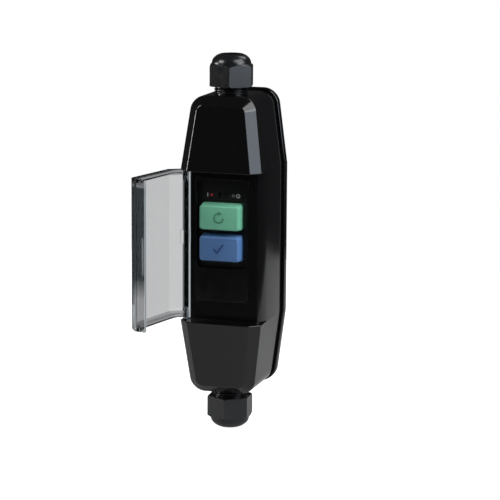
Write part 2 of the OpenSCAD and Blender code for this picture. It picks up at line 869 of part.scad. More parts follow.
module terminal_screws() {
    color([0.74, 0.74, 0.76]) placed() for (pole = [-1 : 1], end = [-1, 1])
        translate([pole * pole_pitch, terminal_top + (pole == 1 ? link_t : 0), end * terminal_z])
            pan_screw(terminal_screw_r, terminal_screw_grip + (pole == 1 ? link_t : 0),
                terminal_head_r, terminal_head_h);
}

// Flat earth bar that joins the two earth terminals past the switching parts.
module earth_link() {
    color([0.76, 0.48, 0.26]) placed() difference() {
        translate([pole_pitch, 0, 0])
            deep_box(link_w, 2 * (terminal_z + link_spare), terminal_top, terminal_top + link_t);
        for (end = [-1, 1])
            translate([pole_pitch, terminal_top - 1, end * terminal_z])
                to_rear() cylinder(r = terminal_screw_r + seat_gap, h = link_t + 2);
    }
}

// Bar that clamps the cable onto its cradle inside one end.
module cord_grip() {
    translate([0, 0, grip_z]) difference() {
        deep_box(2 * (grip_x + grip_post_r), grip_l, grip_y, grip_y + grip_t);
        translate([0, 0, -grip_l]) cylinder(r = cable_r + 0.2, h = 2 * grip_l);
        for (x = [-1, 1])
            translate([x * grip_x, grip_y - 1, 0])
                to_rear() cylinder(r = grip_screw_r + slide_gap, h = grip_t + 2);
    }
}

module upper_cord_grip() {
    color([0.15, 0.15, 0.16]) placed() cord_grip();
}

module lower_cord_grip() {
    color([0.15, 0.15, 0.16]) placed() mirror([0, 0, 1]) cord_grip();
}

module cord_grip_screws() {
    color([0.74, 0.74, 0.76]) placed() for (x = [-1, 1], end = [-1, 1])
        translate([x * grip_x, grip_y + grip_t, end * grip_z])
            pan_screw(grip_screw_r, grip_t + grip_screw_len, grip_head_r, grip_head_h);
}

// Rubber bush that seals the cable in a neck.
module gland_seal() {
    lead = 1.2;
    translate([0, 0, neck_len - seal_depth]) rotate_extrude() polygon([
        [cable_r, 0], [neck_bore_r - 2 * seat_gap, 0],
        [neck_bore_r - 2 * seat_gap, seal_depth + seal_proud - lead],
        [neck_bore_r - 2 * seat_gap - lead, seal_depth + seal_proud],
        [cable_r, seal_depth + seal_proud]
    ]);
}

module upper_gland_seal() {
    color([0.1, 0.1, 0.1]) placed() at_end(true) gland_seal();
}

module lower_gland_seal() {
    color([0.1, 0.1, 0.1]) placed() at_end(false) gland_seal();
}

// Slip washer that rides up and down with a nut without turning.
module slip_washer() {
    base = neck_gap + nut_thread_len + pocket_len - washer_t - seat_gap;
    translate([0, 0, base]) difference() {
        cylinder(r = pocket_r - slide_gap / 2, h = washer_t);
        translate([0, 0, -1]) cylinder(r = mouth_r + 0.3, h = washer_t + 2);
    }
}

module upper_slip_washer() {
    color([0.9, 0.9, 0.88]) placed() at_end(true) slip_washer();
}

module lower_slip_washer() {
    color([0.9, 0.9, 0.88]) placed() at_end(false) slip_washer();
}

// Domed hexagon nut of a gland, with its front corner turned right by an angle.
module gland_nut(turn) {
    corner = nut_af / 2 / cos(30);
    shoulder = nut_len - dome_h;
    dome_r = nut_af / 2 - dome_setback;
    dome_end = acos(1 - (dome_r - mouth_r - mouth_land) / dome_bow);
    dome_rise = dome_h / sin(dome_end);
    dome_steps = 10;
    translate([0, 0, neck_gap]) difference() {
        intersection() {
            rotate([0, 0, turn - 90]) cylinder(r = corner, h = nut_len, $fn = 6);
            rotate_extrude() polygon(concat(
                [[0, 0], [corner - nut_chamfer, 0], [corner + eps, nut_chamfer * 0.6],
                    [corner + eps, shoulder - nut_chamfer * 2]],
                [for (i = [0 : dome_steps]) let (t = dome_end * i / dome_steps)
                    [dome_r - dome_bow * (1 - cos(t)), shoulder + dome_rise * sin(t)]],
                [[0, nut_len]]));
        }
        translate([0, 0, -1]) cylinder(r = thread_r + slide_gap, h = nut_thread_len + 1);
        cylinder(r = pocket_r, h = nut_thread_len + pocket_len);
        cylinder(r = mouth_r, h = nut_len + 1);
    }
}

module upper_gland_nut() {
    color([0.16, 0.165, 0.17]) placed() at_end(true) gland_nut(upper_nut_turn);
}

module lower_gland_nut() {
    color([0.16, 0.165, 0.17]) placed() at_end(false) gland_nut(lower_nut_turn);
}

lower_shell();
middle_shell();
upper_shell();
rear_cover();
perimeter_seal();
case_screws();
clear_lid();
lid_hinge_pins();
fascia_plate();
module_frame();
indicator_window();
indicator_flag();
reset_button();
test_button();
reset_spring();
test_spring();
circuit_board();
board_screws();
push_switches();
circuit_components();
sensing_core();
sensing_winding();
line_conductors();
contact_base();
contact_carriage();
moving_contacts();
fixed_contacts();
trip_coil();
trip_plunger();
supply_terminals();
load_terminals();
terminal_screws();
earth_link();
upper_cord_grip();
lower_cord_grip();
cord_grip_screws();
upper_gland_seal();
lower_gland_seal();
upper_slip_washer();
lower_slip_washer();
upper_gland_nut();
lower_gland_nut();
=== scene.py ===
import json
import math

import bmesh
import bpy
from mathutils import Matrix, Quaternion, Vector


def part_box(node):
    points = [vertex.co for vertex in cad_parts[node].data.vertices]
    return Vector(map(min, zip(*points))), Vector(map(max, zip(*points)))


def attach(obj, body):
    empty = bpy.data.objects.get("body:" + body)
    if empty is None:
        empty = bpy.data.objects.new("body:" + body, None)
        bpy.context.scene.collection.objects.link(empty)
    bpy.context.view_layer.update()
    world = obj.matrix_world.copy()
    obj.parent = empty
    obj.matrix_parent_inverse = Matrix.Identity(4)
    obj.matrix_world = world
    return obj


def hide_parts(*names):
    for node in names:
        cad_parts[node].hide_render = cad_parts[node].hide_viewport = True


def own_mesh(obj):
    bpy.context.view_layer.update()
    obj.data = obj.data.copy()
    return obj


# Looks of the in-line residual current adapter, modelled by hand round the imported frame.
# Sizes are in millimetres and are turned to metres where they reach Blender.

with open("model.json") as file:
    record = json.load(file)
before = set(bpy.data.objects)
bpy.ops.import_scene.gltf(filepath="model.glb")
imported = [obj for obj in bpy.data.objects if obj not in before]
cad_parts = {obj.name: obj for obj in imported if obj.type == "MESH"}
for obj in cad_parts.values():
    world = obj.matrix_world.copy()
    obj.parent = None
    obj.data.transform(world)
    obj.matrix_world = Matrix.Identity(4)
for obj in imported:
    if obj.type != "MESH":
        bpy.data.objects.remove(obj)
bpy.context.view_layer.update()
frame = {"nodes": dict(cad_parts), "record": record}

MM = 0.001


def span(node):
    """Lowest and highest corner of a CAD node, in millimetres."""
    low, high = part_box(node)
    return low / MM, high / MM


shell_low = span("lower_shell")[0]
shell_high = span("upper_shell")[1]
cover_low, cover_high = span("rear_cover")
fascia_low, fascia_high = span("fascia_plate")
reset_low, reset_high = span("reset_button")
test_low, test_high = span("test_button")
lower_nut_low, lower_nut_high = span("lower_gland_nut")
upper_nut_low = span("upper_gland_nut")[0]
window_low, window_high = span("indicator_window")
flag_low, flag_high = span("indicator_flag")

# Modelling: room for finding a place, reach of a cutting tool past the piece, step that keeps
# joined faces out of one plane, share of a normal along Y, and limits for cleaning a mesh
NEAR = 0.05
PAST = 1.0
SHY = 0.02
FACING = 0.9
SAME_POINT = 0.002
SEAM = 0.005
FLAT_ANGLE = 0.05

# Place outside the object, off its planes of symmetry, from which points are put in order
ORDER_FROM = (73.1, 51.7, -29.3)

# Case
HALF_W = span("middle_shell")[1].x
FRONT = -24.3
NECK = 13.0
BODY_LOW = shell_low.z + NECK
BODY_HIGH = shell_high.z - NECK
END_LEN = 43.0
END_NARROWING = 5.7
END_DROP = 4.5
TAPER = math.atan2(END_NARROWING, END_LEN)
CORNER_R = 9.0
CORNER_STEPS = 12
CHAMFER = 5.6
CASE_EDGE = 0.45
WALL = 3.0
OFFSET_SHARE = math.tan(math.radians(22.5))
SIDE_BACK = 18.5
GROOVE = 1.5
TONGUE_BACK = span("perimeter_seal")[0].y
COVER_FRONT = cover_low.y
COVER_BACK = cover_high.y
OVERHANG = 1.0
COVER_ROUND = 2.6
COVER_ROUND_STEPS = 6
COVER_LEAD = 0.8
COVER_LEAD_STEPS = 3
COVER_SKIN = 2.6
COVER_RIM = 1.5
COVER_EDGE = 0.25
POCKET_OFF_SCREW = 5.6
SCREW_X = 12.4
SCREW_IN = 11.0
SCREW_SINK = 3.0
SCREW_SEAT_R = 3.4
SCREW_HOLE_R = 1.8
SCREW_HOLE_LEN = 30.0

# Bay and lid
BAY_LOW = BODY_LOW + END_LEN
BAY_HIGH = BODY_HIGH - END_LEN
MIDDLE = (BAY_LOW + BAY_HIGH) / 2
FLOOR = FRONT + 9.5
FLOOR_BACK = FLOOR + 2.4
LID_WALL = 1.8
LID_GAP = 0.5
LID_RIM = 5.6
LID_EDGE = 0.3
RIM_T = 3.2
SCALLOP_STEPS = 14
LID_LOW = BAY_LOW + LID_GAP
LID_HIGH = BAY_HIGH - LID_GAP
FLANGE_END = FRONT + 12.3
LID_OPEN = 103.0
HINGE_R = 1.8
HINGE_X = HINGE_R - HALF_W
HINGE_Y = FLANGE_END - 2.0
PIN_HOLE_R = 0.83
KNUCKLE = 6.0
PAD_HALF = 0.5
PAD_FRONT = 3.6
PAD_BACK = 0.6
PAD_LEN = 8.0
LATCH_LEN = 21.6
LATCH_HALF = 0.6
LATCH_PROUD = 0.4
LATCH_ROOT = 0.4
CHANNEL_R = 2.99
CHANNEL_X = HINGE_X + CHANNEL_R
CHANNEL_Y = HINGE_Y + CHANNEL_R
RAMP_X = HALF_W - 3.3
RAMP_END = FLANGE_END + 5.4
KNEE_X = HALF_W - 6.4
KNEE_Y = RAMP_END + 2.6

# Painted dark reflection on the clear lid: places on the closed lid, soft edges and strengths
FREE_REFLECTION = HALF_W - HINGE_X - CHAMFER
FREE_FADE = 0.5
REFLECTION_LOW = 85.0
REFLECTION_HIGH = 97.0
HINGE_REFLECTION = -2.6
HINGE_FADE = 0.4
HINGE_SKIN = 0.45
HINGE_SKIN_FULL = 0.3
RIM_FADE = 0.3
UPPER_RIM_REFLECTION = 0.6
LOWER_RIM_REFLECTION = 0.5

# Gaps left clear in the painted dark reflection on the free side: the latch and the upper end
LATCH_LIGHT_FRONT = -0.4
LATCH_LIGHT_BACK = 1.6
LATCH_FADE = 0.4
LATCH_END_FADE = 0.5
LATCH_CLEARING = 0.7
TOP_LIGHT = 4.8
TOP_LIGHT_FULL = 4.2
TOP_CLEARING = 0.5

# Painted highlights that glow on the lid: the ends of its flanges and its folded corner
FLANGE_LIGHT = 0.25
FLANGE_LIGHT_FULL = 0.15
CORNER_SIDE = 0.8
CORNER_SIDE_FULL = 0.5
CORNER_FRONT = 0.3
CORNER_BACK = 1.4
CORNER_FADE = 0.5
CORNER_GLOW = 0.15

# Controls
PANEL_X = (fascia_low.x + fascia_high.x) / 2
RESET_Z = (reset_low.z + reset_high.z) / 2
TEST_Z = (test_low.z + test_high.z) / 2
WINDOW_Z = (window_low.z + window_high.z) / 2
FLAG_Z = (flag_low.z + flag_high.z) / 2
OPENING_W = 29.7
OPENING_H = 51.8
OPENING_DOWN = 5.2
OPENING_Z = BAY_HIGH - OPENING_DOWN - OPENING_H / 2
OPENING_R = 2.5
FASCIA_R = 4.5
FASCIA_EDGE = 0.25
PLATE_STEPS = 8
BUTTON_W = 25.0
BUTTON_H = 15.6
BUTTON_DRAFT = 0.8
BUTTON_R = 1.8
BUTTON_STEPS = 6
BUTTON_FACE_R = 0.9
BUTTON_FACE_STEPS = 5
BUTTON_EDGE = 0.1
BUTTON_FRONT = reset_low.y
BUTTON_NECK = FLOOR_BACK - 0.6
BUTTON_LIP = 0.9
LIP_FRONT = FLOOR_BACK + 2.3
LIP_BACK = LIP_FRONT + 1.4
LIP_STEP = 0.001
STEM_R = 1.6
STEM_ROOT = BUTTON_FRONT + 2.0
STEM_END = reset_high.y
STEM_SIDES = 24
SPRING_R = 4.0
SPRING_WIRE = 0.35
SPRING_TURNS = 9
SPRING_SIDES = 10
SPRING_STEPS = 24

# Signs on the keys and ink beside the window
SIGN_R = 2.7
SIGN_LINE = 0.9
SIGN_PROUD = 0.25
SIGN_EDGE = 0.08
ARROW_GAP = 6.0
ARROW_HEAD_R = 1.6
ARROW_LEAD = 0.5
TICK_LONG = 6.4
TICK_LONG_X = 0.9
TICK_LONG_Z = 0.3
TICK_LONG_LEAN = 38.0
TICK_SHORT = 3.2
TICK_SHORT_X = -1.85
TICK_SHORT_Z = -1.05
TICK_SHORT_LEAN = -42.0
INK = 0.06
INK_EDGE = 0.015
INK_FACE = FLOOR_BACK - INK / 2
ON_LINE_X = -9.2
ON_LINE_LEN = 2.2
ON_LINE_W = 0.55
OFF_RING_X = 9.2
OFF_RING_R = 1.2
OFF_RING_HOLE_R = 0.75
ON_SPOT_X = -6.7
OFF_SPOT_X = 6.3
SPOT_R = 0.8
SPOT_HOLE_R = 0.62
SPOT_SIDES = 32

# Glands
NUT_FLATS = 24.0
NUT_CORNER = NUT_FLATS / 2 / math.cos(math.radians(30))
NUT_LEN = lower_nut_high.z - lower_nut_low.z
NUT_EDGE = 0.22
NUT_FOOT = 0.5
NUT_FOOT_IN = 0.8
NUT_SHOULDER = 1.6
NUT_BORE_R = 10.3
NUT_BORE_LEN = 10.0
UPPER_NUT_TURN = 13.0
LOWER_NUT_TURN = 4.0
DOME = 5.5
DOME_BOW = 8.0
DOME_SETBACK = 0.6
DOME_STEPS = 12
MOUTH_R = 6.25
MOUTH_LAND = 0.2
POCKET_R = 8.2
POCKET_END = NUT_BORE_LEN + 3.2
THREAD_R = 10.0
THREAD_DEPTH = 0.9
THREAD_PITCH = 1.5
THREAD_START = 0.3
THREAD_ROOM = 0.4
THREAD_EDGE = 0.08
NECK_BORE_R = 7.5
NECK_HOLE_R = 6.3
SEAL_DEPTH = 10.0
TURNED_SIDES = 96

# Shares of the pitch at which a thread reaches its crest, leaves it and is back at its root
CREST_START = 0.38
CREST_END = 0.55
ROOT_START = 0.93

# Finishes
RELIEF = 0.1
PLASTIC_SHADE = 0.85
METAL_GLOSS = (0.22, 0.4)
METAL_BUMP = 0.1
CLEAR_GLOSS = (0.02, 0.05)
CLEAR_GRAIN = 700.0
CLEAR_SHADE = 0.985
CLEAR_BUMP = 0.02
LID_TINT = (0.61, 0.615, 0.62)
LID_BEND = 1.57
# Colour of the lid's painted dark reflection
LID_PAINTED_REFLECTION = (0.07, 0.085, 0.09)
# Colour of the lid's painted highlight, which glows by emission
LID_PAINTED_HIGHLIGHT = (0.24, 0.26, 0.275)
WINDOW_TINT = (0.97, 0.98, 0.98)
WINDOW_BEND = 1.2
FLAG_DARK = (0.012, 0.012, 0.013)
FLAG_RED = (0.8, 0.03, 0.03)
FLAG_GLOSS = (0.3, 0.4)
FLAG_GRAIN = 5000.0

# Camera: angles in degrees, distance in metres, aim in millimetres across and up
CAMERA_AZIMUTH = 17.3
CAMERA_ELEVATION = 10.8
CAMERA_DISTANCE = 1.3
CAMERA_ANGLE = 12.8
CAMERA_AIM = (11.3, 105.3)
CAMERA_ROLL = 0.36

# Stage: the floor's box, tone and glow, the studio's tones and the place that the lights aim at
STAGE_LOW = (-300, -250, -6)
STAGE_HIGH = (300, 500, -0.4)
STAGE_TONE = (0.4, 0.4, 0.4)
STAGE_ROUGHNESS = 0.9
STAGE_GLOW = 0.1
STAGE_GLOW_SEEN = 0.95
STUDIO_DARK = (0.03, 0.03, 0.032)
WHITE = (1.0, 1.0, 1.0)
COOL = (0.78, 0.88, 1.0)
LIGHT_AIM = (0, 0, 110)

# Faces that a ray crosses in one clear wall
SINGLE_WALL = 2


# Modelling steps


def start_clean():
    """Leaves edit mode and clears the selection."""
    if bpy.context.mode != "OBJECT":
        bpy.ops.object.mode_set(mode="OBJECT")
    bpy.ops.object.select_all(action="DESELECT")


def make_active(piece):
    start_clean()
    piece.select_set(True)
    bpy.context.view_layer.objects.active = piece


def settle(name):
    """Names the new object and moves its place into its mesh."""
    piece = bpy.context.object
    piece.name = name
    piece.data.name = name
    bpy.ops.object.transform_apply(location=True, rotation=True, scale=True)
    return piece


def block(name, low, high):
    """Cube stretched to the box between two corners."""
    start_clean()
    low, high = Vector(low), Vector(high)
    bpy.ops.mesh.primitive_cube_add(size=1, location=(low + high) / 2 * MM)
    bpy.context.object.scale = (high - low) * MM
    return settle(name)


def rod(name, centre, radius, length, along="Z", sides=48, spin=0.0):
    """Cylinder about a centre, along Y or Z. Along Z no corner lies straight ahead or to a side."""
    start_clean()
    lean = (math.pi / 2, math.radians(spin), 0) if along == "Y" else (0, 0, math.pi / sides)
    bpy.ops.mesh.primitive_cylinder_add(
        vertices=sides, radius=radius * MM, depth=length * MM,
        location=Vector(centre) * MM, rotation=lean)
    return settle(name)


def bar(name, centre, length, width, depth, lean=0.0):
    """Flat bar that faces the front, leaning from upright to the right."""
    start_clean()
    bpy.ops.mesh.primitive_cube_add(
        size=1, location=Vector(centre) * MM, rotation=(0, math.radians(lean), 0))
    bpy.context.object.scale = Vector((width, depth, length)) * MM
    return settle(name)


def copy_of(piece, name, rise):
    """Copy of a piece with its own mesh, moved up by a rise."""
    make_active(piece)
    bpy.ops.object.duplicate(linked=False)
    bpy.context.object.location.z = rise * MM
    return settle(name)


def edit(piece):
    make_active(piece)
    bpy.ops.object.mode_set(mode="EDIT")
    bpy.ops.mesh.select_all(action="DESELECT")


def done():
    bpy.ops.object.mode_set(mode="OBJECT")


def choose(kind, test):
    """Selects points, edges or faces by place: test gets a point, two ends, or a middle and a normal."""
    bpy.ops.mesh.select_mode(type=kind)
    bpy.ops.mesh.select_all(action="DESELECT")
    data = bpy.context.object.data
    mesh = bmesh.from_edit_mesh(data)
    mesh.normal_update()
    if kind == "VERT":
        for vert in mesh.verts:
            vert.select_set(test(vert.co / MM))
    elif kind == "EDGE":
        for edge in mesh.edges:
            edge.select_set(test(edge.verts[0].co / MM, edge.verts[1].co / MM))
    else:
        for face in mesh.faces:
            face.select_set(test(face.calc_center_median() / MM, face.normal))
    bmesh.update_edit_mesh(data)


def near(a, b):
    return abs(a - b) < NEAR


def along_y(a, b):
    return near(a.x, b.x) and near(a.z, b.z)


def upright_at(depth):
    """Test for edges along Z at one depth."""
    return lambda a, b: near(a.x, b.x) and near(a.y, depth) and near(b.y, depth)


def faces_front(centre, normal):
    return normal.y < -FACING


def faces_back(centre, normal):
    return normal.y > FACING


def shift(y=0.0, z=0.0):
    bpy.ops.transform.translate(value=(0, y * MM, z * MM))


def stretch(x, y, z, centre=(0, 0, 0)):
    bpy.ops.transform.resize(value=(x, y, z), center_override=Vector(centre) * MM)


def draw_back(length):
    """Extrudes the selected faces backwards."""
    bpy.ops.mesh.extrude_region_move(TRANSFORM_OT_translate={"value": (0, length * MM, 0)})


def slice_at(place, direction):
    bpy.ops.mesh.select_all(action="SELECT")
    bpy.ops.mesh.bisect(plane_co=Vector(place) * MM, plane_no=direction)


def round_edges(size, steps):
    bpy.ops.mesh.bevel(offset=size * MM, segments=steps, affect="EDGES")


def round_outline(side, size, steps):
    """Rounds the edges round all faces that look to one side."""
    choose("FACE", side)
    bpy.ops.mesh.region_to_loop()
    round_edges(size, steps)


def finish_with(piece, kind, **settings):
    """Adds a modifier and applies it."""
    make_active(piece)
    modifier = piece.modifiers.new(kind.lower(), kind)
    for name, value in settings.items():
        setattr(modifier, name, value)
    bpy.ops.object.modifier_apply(modifier=modifier.name)


def fix_order(piece):
    """Puts points, edges and faces in the same order on each run, by their distance from one place."""
    bpy.context.scene.cursor.location = Vector(ORDER_FROM) * MM
    edit(piece)
    bpy.ops.mesh.select_all(action="SELECT")
    bpy.ops.mesh.sort_elements(type="CURSOR_DISTANCE", elements={"VERT", "EDGE", "FACE"})
    done()


def combine(piece, tool, operation):
    """Joins a tool to a piece, cuts it out or keeps what both share, and removes the tool."""
    finish_with(piece, "BOOLEAN", object=tool, operation=operation, solver="EXACT")
    bpy.data.objects.remove(tool, do_unlink=True)
    fix_order(piece)


def carve(piece, *tools):
    for tool in tools:
        combine(piece, tool, "DIFFERENCE")


def weld(piece, *tools):
    for tool in tools:
        combine(piece, tool, "UNION")


def soften(piece, width, steps=3, sharper_than=28):
    """Rounds every sharp edge a little, so that it catches the light."""
    edit(piece)
    bpy.ops.mesh.select_all(action="SELECT")
    bpy.ops.mesh.remove_doubles(threshold=SAME_POINT * MM)
    bpy.ops.mesh.dissolve_limited(angle_limit=math.radians(FLAT_ANGLE))
    done()
    fix_order(piece)
    finish_with(piece, "BEVEL", width=width * MM, segments=steps, limit_method="ANGLE",
                angle_limit=math.radians(sharper_than), miter_outer="MITER_ARC", harden_normals=False)
    fix_order(piece)
    smooth(piece)


def smooth(piece, angle=35):
    """Shades gentle edges smooth and keeps flat faces flat."""
    make_active(piece)
    bpy.ops.object.shade_smooth_by_angle(angle=math.radians(angle))
    finish_with(piece, "WEIGHTED_NORMAL", keep_sharp=True)


def turned(name, base, way, profile):
    """Turns a closed profile of (radius, height) rings about the cable's axis, up or down from a base.

    One circle is drawn out and resized, ring by ring.
    """
    start_clean()
    rings = [(radius, base + way * height) for radius, height in profile]
    radius, height = rings[0]
    bpy.ops.mesh.primitive_circle_add(
        vertices=TURNED_SIDES, radius=radius * MM, location=(0, 0, height * MM))
    piece = settle(name)
    edit(piece)
    bpy.ops.mesh.select_mode(type="EDGE")
    bpy.ops.mesh.select_all(action="SELECT")
    for next_radius, next_height in rings[1:] + rings[:1]:
        bpy.ops.mesh.extrude_edges_move(
            TRANSFORM_OT_translate={"value": (0, 0, (next_height - height) * MM)})
        share = next_radius / radius
        stretch(share, share, 1, (0, 0, next_height))
        radius, height = next_radius, next_height
    bpy.ops.mesh.select_all(action="SELECT")
    bpy.ops.mesh.remove_doubles(threshold=SEAM * MM)
    bpy.ops.mesh.normals_make_consistent(inside=False)
    done()
    fix_order(piece)
    return piece


def show(piece, body, material, slot, *nodes):
    """Gives a piece its material, its body and the CAD nodes that it stands for."""
    piece.data.materials.clear()
    piece.data.materials.append(material)
    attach(piece, body)
    if nodes:
        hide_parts(*nodes)


# Case pieces


def case_form(name, inset, front, back, drop=0.0):
    """Long block with drawn-in ends and round corners. Its front can fall back at the ends."""
    half = HALF_W - inset
    end = HALF_W - inset / math.cos(TAPER) - (END_LEN - inset) * math.tan(TAPER)
    low, high = BODY_LOW + inset, BODY_HIGH - inset

    def at_end(point):
        return near(point.z, low) or near(point.z, high)

    piece = block(name, (-half, front, low), (half, back, high))
    edit(piece)
    slice_at((0, 0, BAY_LOW), (0, 0, 1))
    slice_at((0, 0, BAY_HIGH), (0, 0, 1))
    choose("VERT", at_end)
    stretch(end / half, 1, 1)
    if drop:
        choose("VERT", lambda p: near(p.y, front) and at_end(p))
        shift(y=drop)
    choose("EDGE", lambda a, b: along_y(a, b) and at_end(a))
    round_edges((CORNER_R - inset) * math.tan(math.pi / 4 - TAPER / 2), CORNER_STEPS)
    done()
    return piece


def raise_front(piece, edge):
    """Draws the front faces forwards and inwards by the same size: a chamfer of 45 degrees."""
    edit(piece)
    choose("FACE", faces_front)
    bpy.ops.mesh.inset(thickness=edge * MM, depth=edge * MM)
    done()


def bay_tool():
    """Space of the bay: hinge channel at the left, floor, and a ramp at the right."""
    reach = HALF_W + PAST
    fall = (RAMP_END - FLOOR) * (reach - RAMP_X) / (HALF_W - RAMP_X)
    tool = block("bay_tool", (-reach, FRONT - PAST, BAY_LOW), (reach, FLOOR, BAY_HIGH))
    edit(tool)
    slice_at((CHANNEL_X, 0, 0), (1, 0, 0))
    slice_at((RAMP_X, 0, 0), (1, 0, 0))
    choose("VERT", lambda p: near(p.x, reach) and near(p.y, FLOOR))
    shift(y=fall)
    choose("FACE", lambda c, n: faces_back(c, n) and c.x < CHANNEL_X)
    draw_back(CHANNEL_Y - FLOOR)
    done()
    return tool


def hollow_tool():
    """Inside of the front shell, less the solid that stands behind the bay."""
    edge = CHAMFER - WALL * (1 - OFFSET_SHARE)
    tool = case_form("hollow_tool", WALL, FRONT + WALL + edge, TONGUE_BACK + PAST, END_DROP)
    raise_front(tool, edge)
    reach = HALF_W + PAST
    knee = HALF_W - WALL
    backing = block("backing", (-reach, FRONT - PAST, BAY_LOW - WALL),
                    (reach, FLOOR_BACK, BAY_HIGH + WALL))
    edit(backing)
    for place in (-knee, -KNEE_X, KNEE_X, knee):
        slice_at((place, 0, 0), (1, 0, 0))
    choose("VERT", lambda p: abs(p.x) > knee - NEAR and near(p.y, FLOOR_BACK))
    shift(y=KNEE_Y - FLOOR_BACK)
    done()
    carve(tool, backing)
    return tool


def rounded_plate(name, low, high, radius):
    """Block with its four edges along Y rounded."""
    piece = block(name, low, high)
    edit(piece)
    choose("EDGE", along_y)
    round_edges(radius, PLATE_STEPS)
    done()
    return piece


def opening_tool():
    """Space of the opening that the keys and the window stand in."""
    return rounded_plate(
        "opening_tool", (PANEL_X - OPENING_W / 2, FLOOR - 2 * PAST, OPENING_Z - OPENING_H / 2),
        (PANEL_X + OPENING_W / 2, FLOOR_BACK + 2 * PAST, OPENING_Z + OPENING_H / 2), OPENING_R)


def make_front_shell():
    """Front half of the case: chamfered and hollow, with the bay, the opening and a hole at each end."""
    shell = case_form("case_front", 0, FRONT + CHAMFER, SIDE_BACK, END_DROP)
    raise_front(shell, CHAMFER)
    edit(shell)
    choose("FACE", faces_back)
    bpy.ops.mesh.inset(thickness=GROOVE * MM)
    draw_back(TONGUE_BACK - SIDE_BACK)
    done()
    carve(shell, hollow_tool(), bay_tool(), opening_tool())
    for end in (BODY_LOW, BODY_HIGH):
        carve(shell, rod("cable_hole", (0, 0, end), NECK_HOLE_R, 4 * WALL))
    soften(shell, CASE_EDGE)
    return shell


def make_rear_cover():
    """Back plate, a little wider than the front half, with a pocket inside and four sunken screw holes."""
    cover = case_form("case_back", -OVERHANG, COVER_FRONT, COVER_BACK)
    edit(cover)
    round_outline(faces_back, COVER_ROUND, COVER_ROUND_STEPS)
    round_outline(faces_front, COVER_LEAD, COVER_LEAD_STEPS)
    done()
    rim = HALF_W - 2 * GROOVE - COVER_RIM
    reach = BODY_HIGH - SCREW_IN - POCKET_OFF_SCREW
    carve(cover, block("pocket", (-rim, COVER_FRONT - PAST, 2 * MIDDLE - reach),
                       (rim, COVER_BACK - COVER_SKIN, reach)))
    for x in (-SCREW_X, SCREW_X):
        for z in (BODY_LOW + SCREW_IN, BODY_HIGH - SCREW_IN):
            carve(cover, rod("screw_seat", (x, COVER_BACK, z), SCREW_SEAT_R, 2 * SCREW_SINK, "Y"),
                  rod("screw_hole", (x, COVER_BACK, z), SCREW_HOLE_R, SCREW_HOLE_LEN, "Y"))
    soften(cover, COVER_EDGE)
    return cover


# Lid


def lid_box():
    """Box with a chamfered front and no back, with thicker walls at its two ends."""
    lid = block("lid_form", (-HALF_W, FRONT, LID_LOW), (HALF_W, FLANGE_END, LID_HIGH))
    edit(lid)
    choose("EDGE", upright_at(FRONT))
    round_edges(CHAMFER, 1)
    choose("FACE", faces_back)
    bpy.ops.mesh.delete(type="FACE")
    done()
    finish_with(lid, "SOLIDIFY", thickness=LID_WALL * MM, offset=-1, use_even_offset=True)
    edit(lid)
    choose("VERT", lambda p: near(p.z, LID_LOW + LID_WALL))
    shift(z=RIM_T - LID_WALL)
    choose("VERT", lambda p: near(p.z, LID_HIGH - LID_WALL))
    shift(z=LID_WALL - RIM_T)
    done()
    return lid


def scallop_tool(low):
    """Gap in an end of the lid, with round corners towards the front."""
    inner = HALF_W - LID_WALL
    rim = FRONT + LID_RIM
    tool = block("scallop", (-inner, rim, low), (inner, FLANGE_END + PAST, low + RIM_T + 2 * PAST))
    edit(tool)
    choose("EDGE", upright_at(rim))
    round_edges(FLANGE_END - rim - SHY, SCALLOP_STEPS)
    done()
    return tool


def swing_open(lid):
    """Turns the closed lid about its hinge to where the frame has it."""
    pivot = Vector((HINGE_X, HINGE_Y, 0)) * MM
    turn = Matrix.Rotation(math.radians(-LID_OPEN), 4, "Z")
    make_active(lid)
    lid.matrix_world = Matrix.Translation(pivot) @ turn @ Matrix.Translation(-pivot)
    bpy.ops.object.transform_apply(location=True, rotation=True, scale=True)


def make_lid():
    """Clear lid, modelled closed and then turned open."""
    lid = lid_box()
    for low in (LID_LOW - PAST, LID_HIGH - RIM_T - PAST):
        carve(lid, scallop_tool(low))
    for low in (LID_LOW, LID_HIGH - KNUCKLE):
        centre = (HINGE_X, HINGE_Y, low + KNUCKLE / 2)
        weld(lid, rod("knuckle", centre, HINGE_R - SHY, KNUCKLE - 2 * SHY))
        carve(lid, rod("pin_hole", centre, PIN_HOLE_R, KNUCKLE + PAST))
    inner = HALF_W - LID_WALL
    weld(lid, block("grip_pad", (HINGE_X - PAD_HALF, HINGE_Y - PAD_FRONT, MIDDLE),
                    (HINGE_X + PAD_HALF, HINGE_Y - PAD_BACK, MIDDLE + PAD_LEN)))
    weld(lid, block("latch", (inner - LATCH_PROUD, HINGE_Y - LATCH_HALF, MIDDLE - LATCH_LEN / 2),
                    (inner + LATCH_ROOT, HINGE_Y + LATCH_HALF, MIDDLE + LATCH_LEN / 2)))
    soften(lid, LID_EDGE)
    swing_open(lid)
    return lid


# Controls


def make_fascia():
    """Thin plate on the floor of the bay, round the opening."""
    plate = rounded_plate("fascia_form", fascia_low, fascia_high, FASCIA_R)
    carve(plate, opening_tool())
    soften(plate, FASCIA_EDGE, steps=2)
    return plate


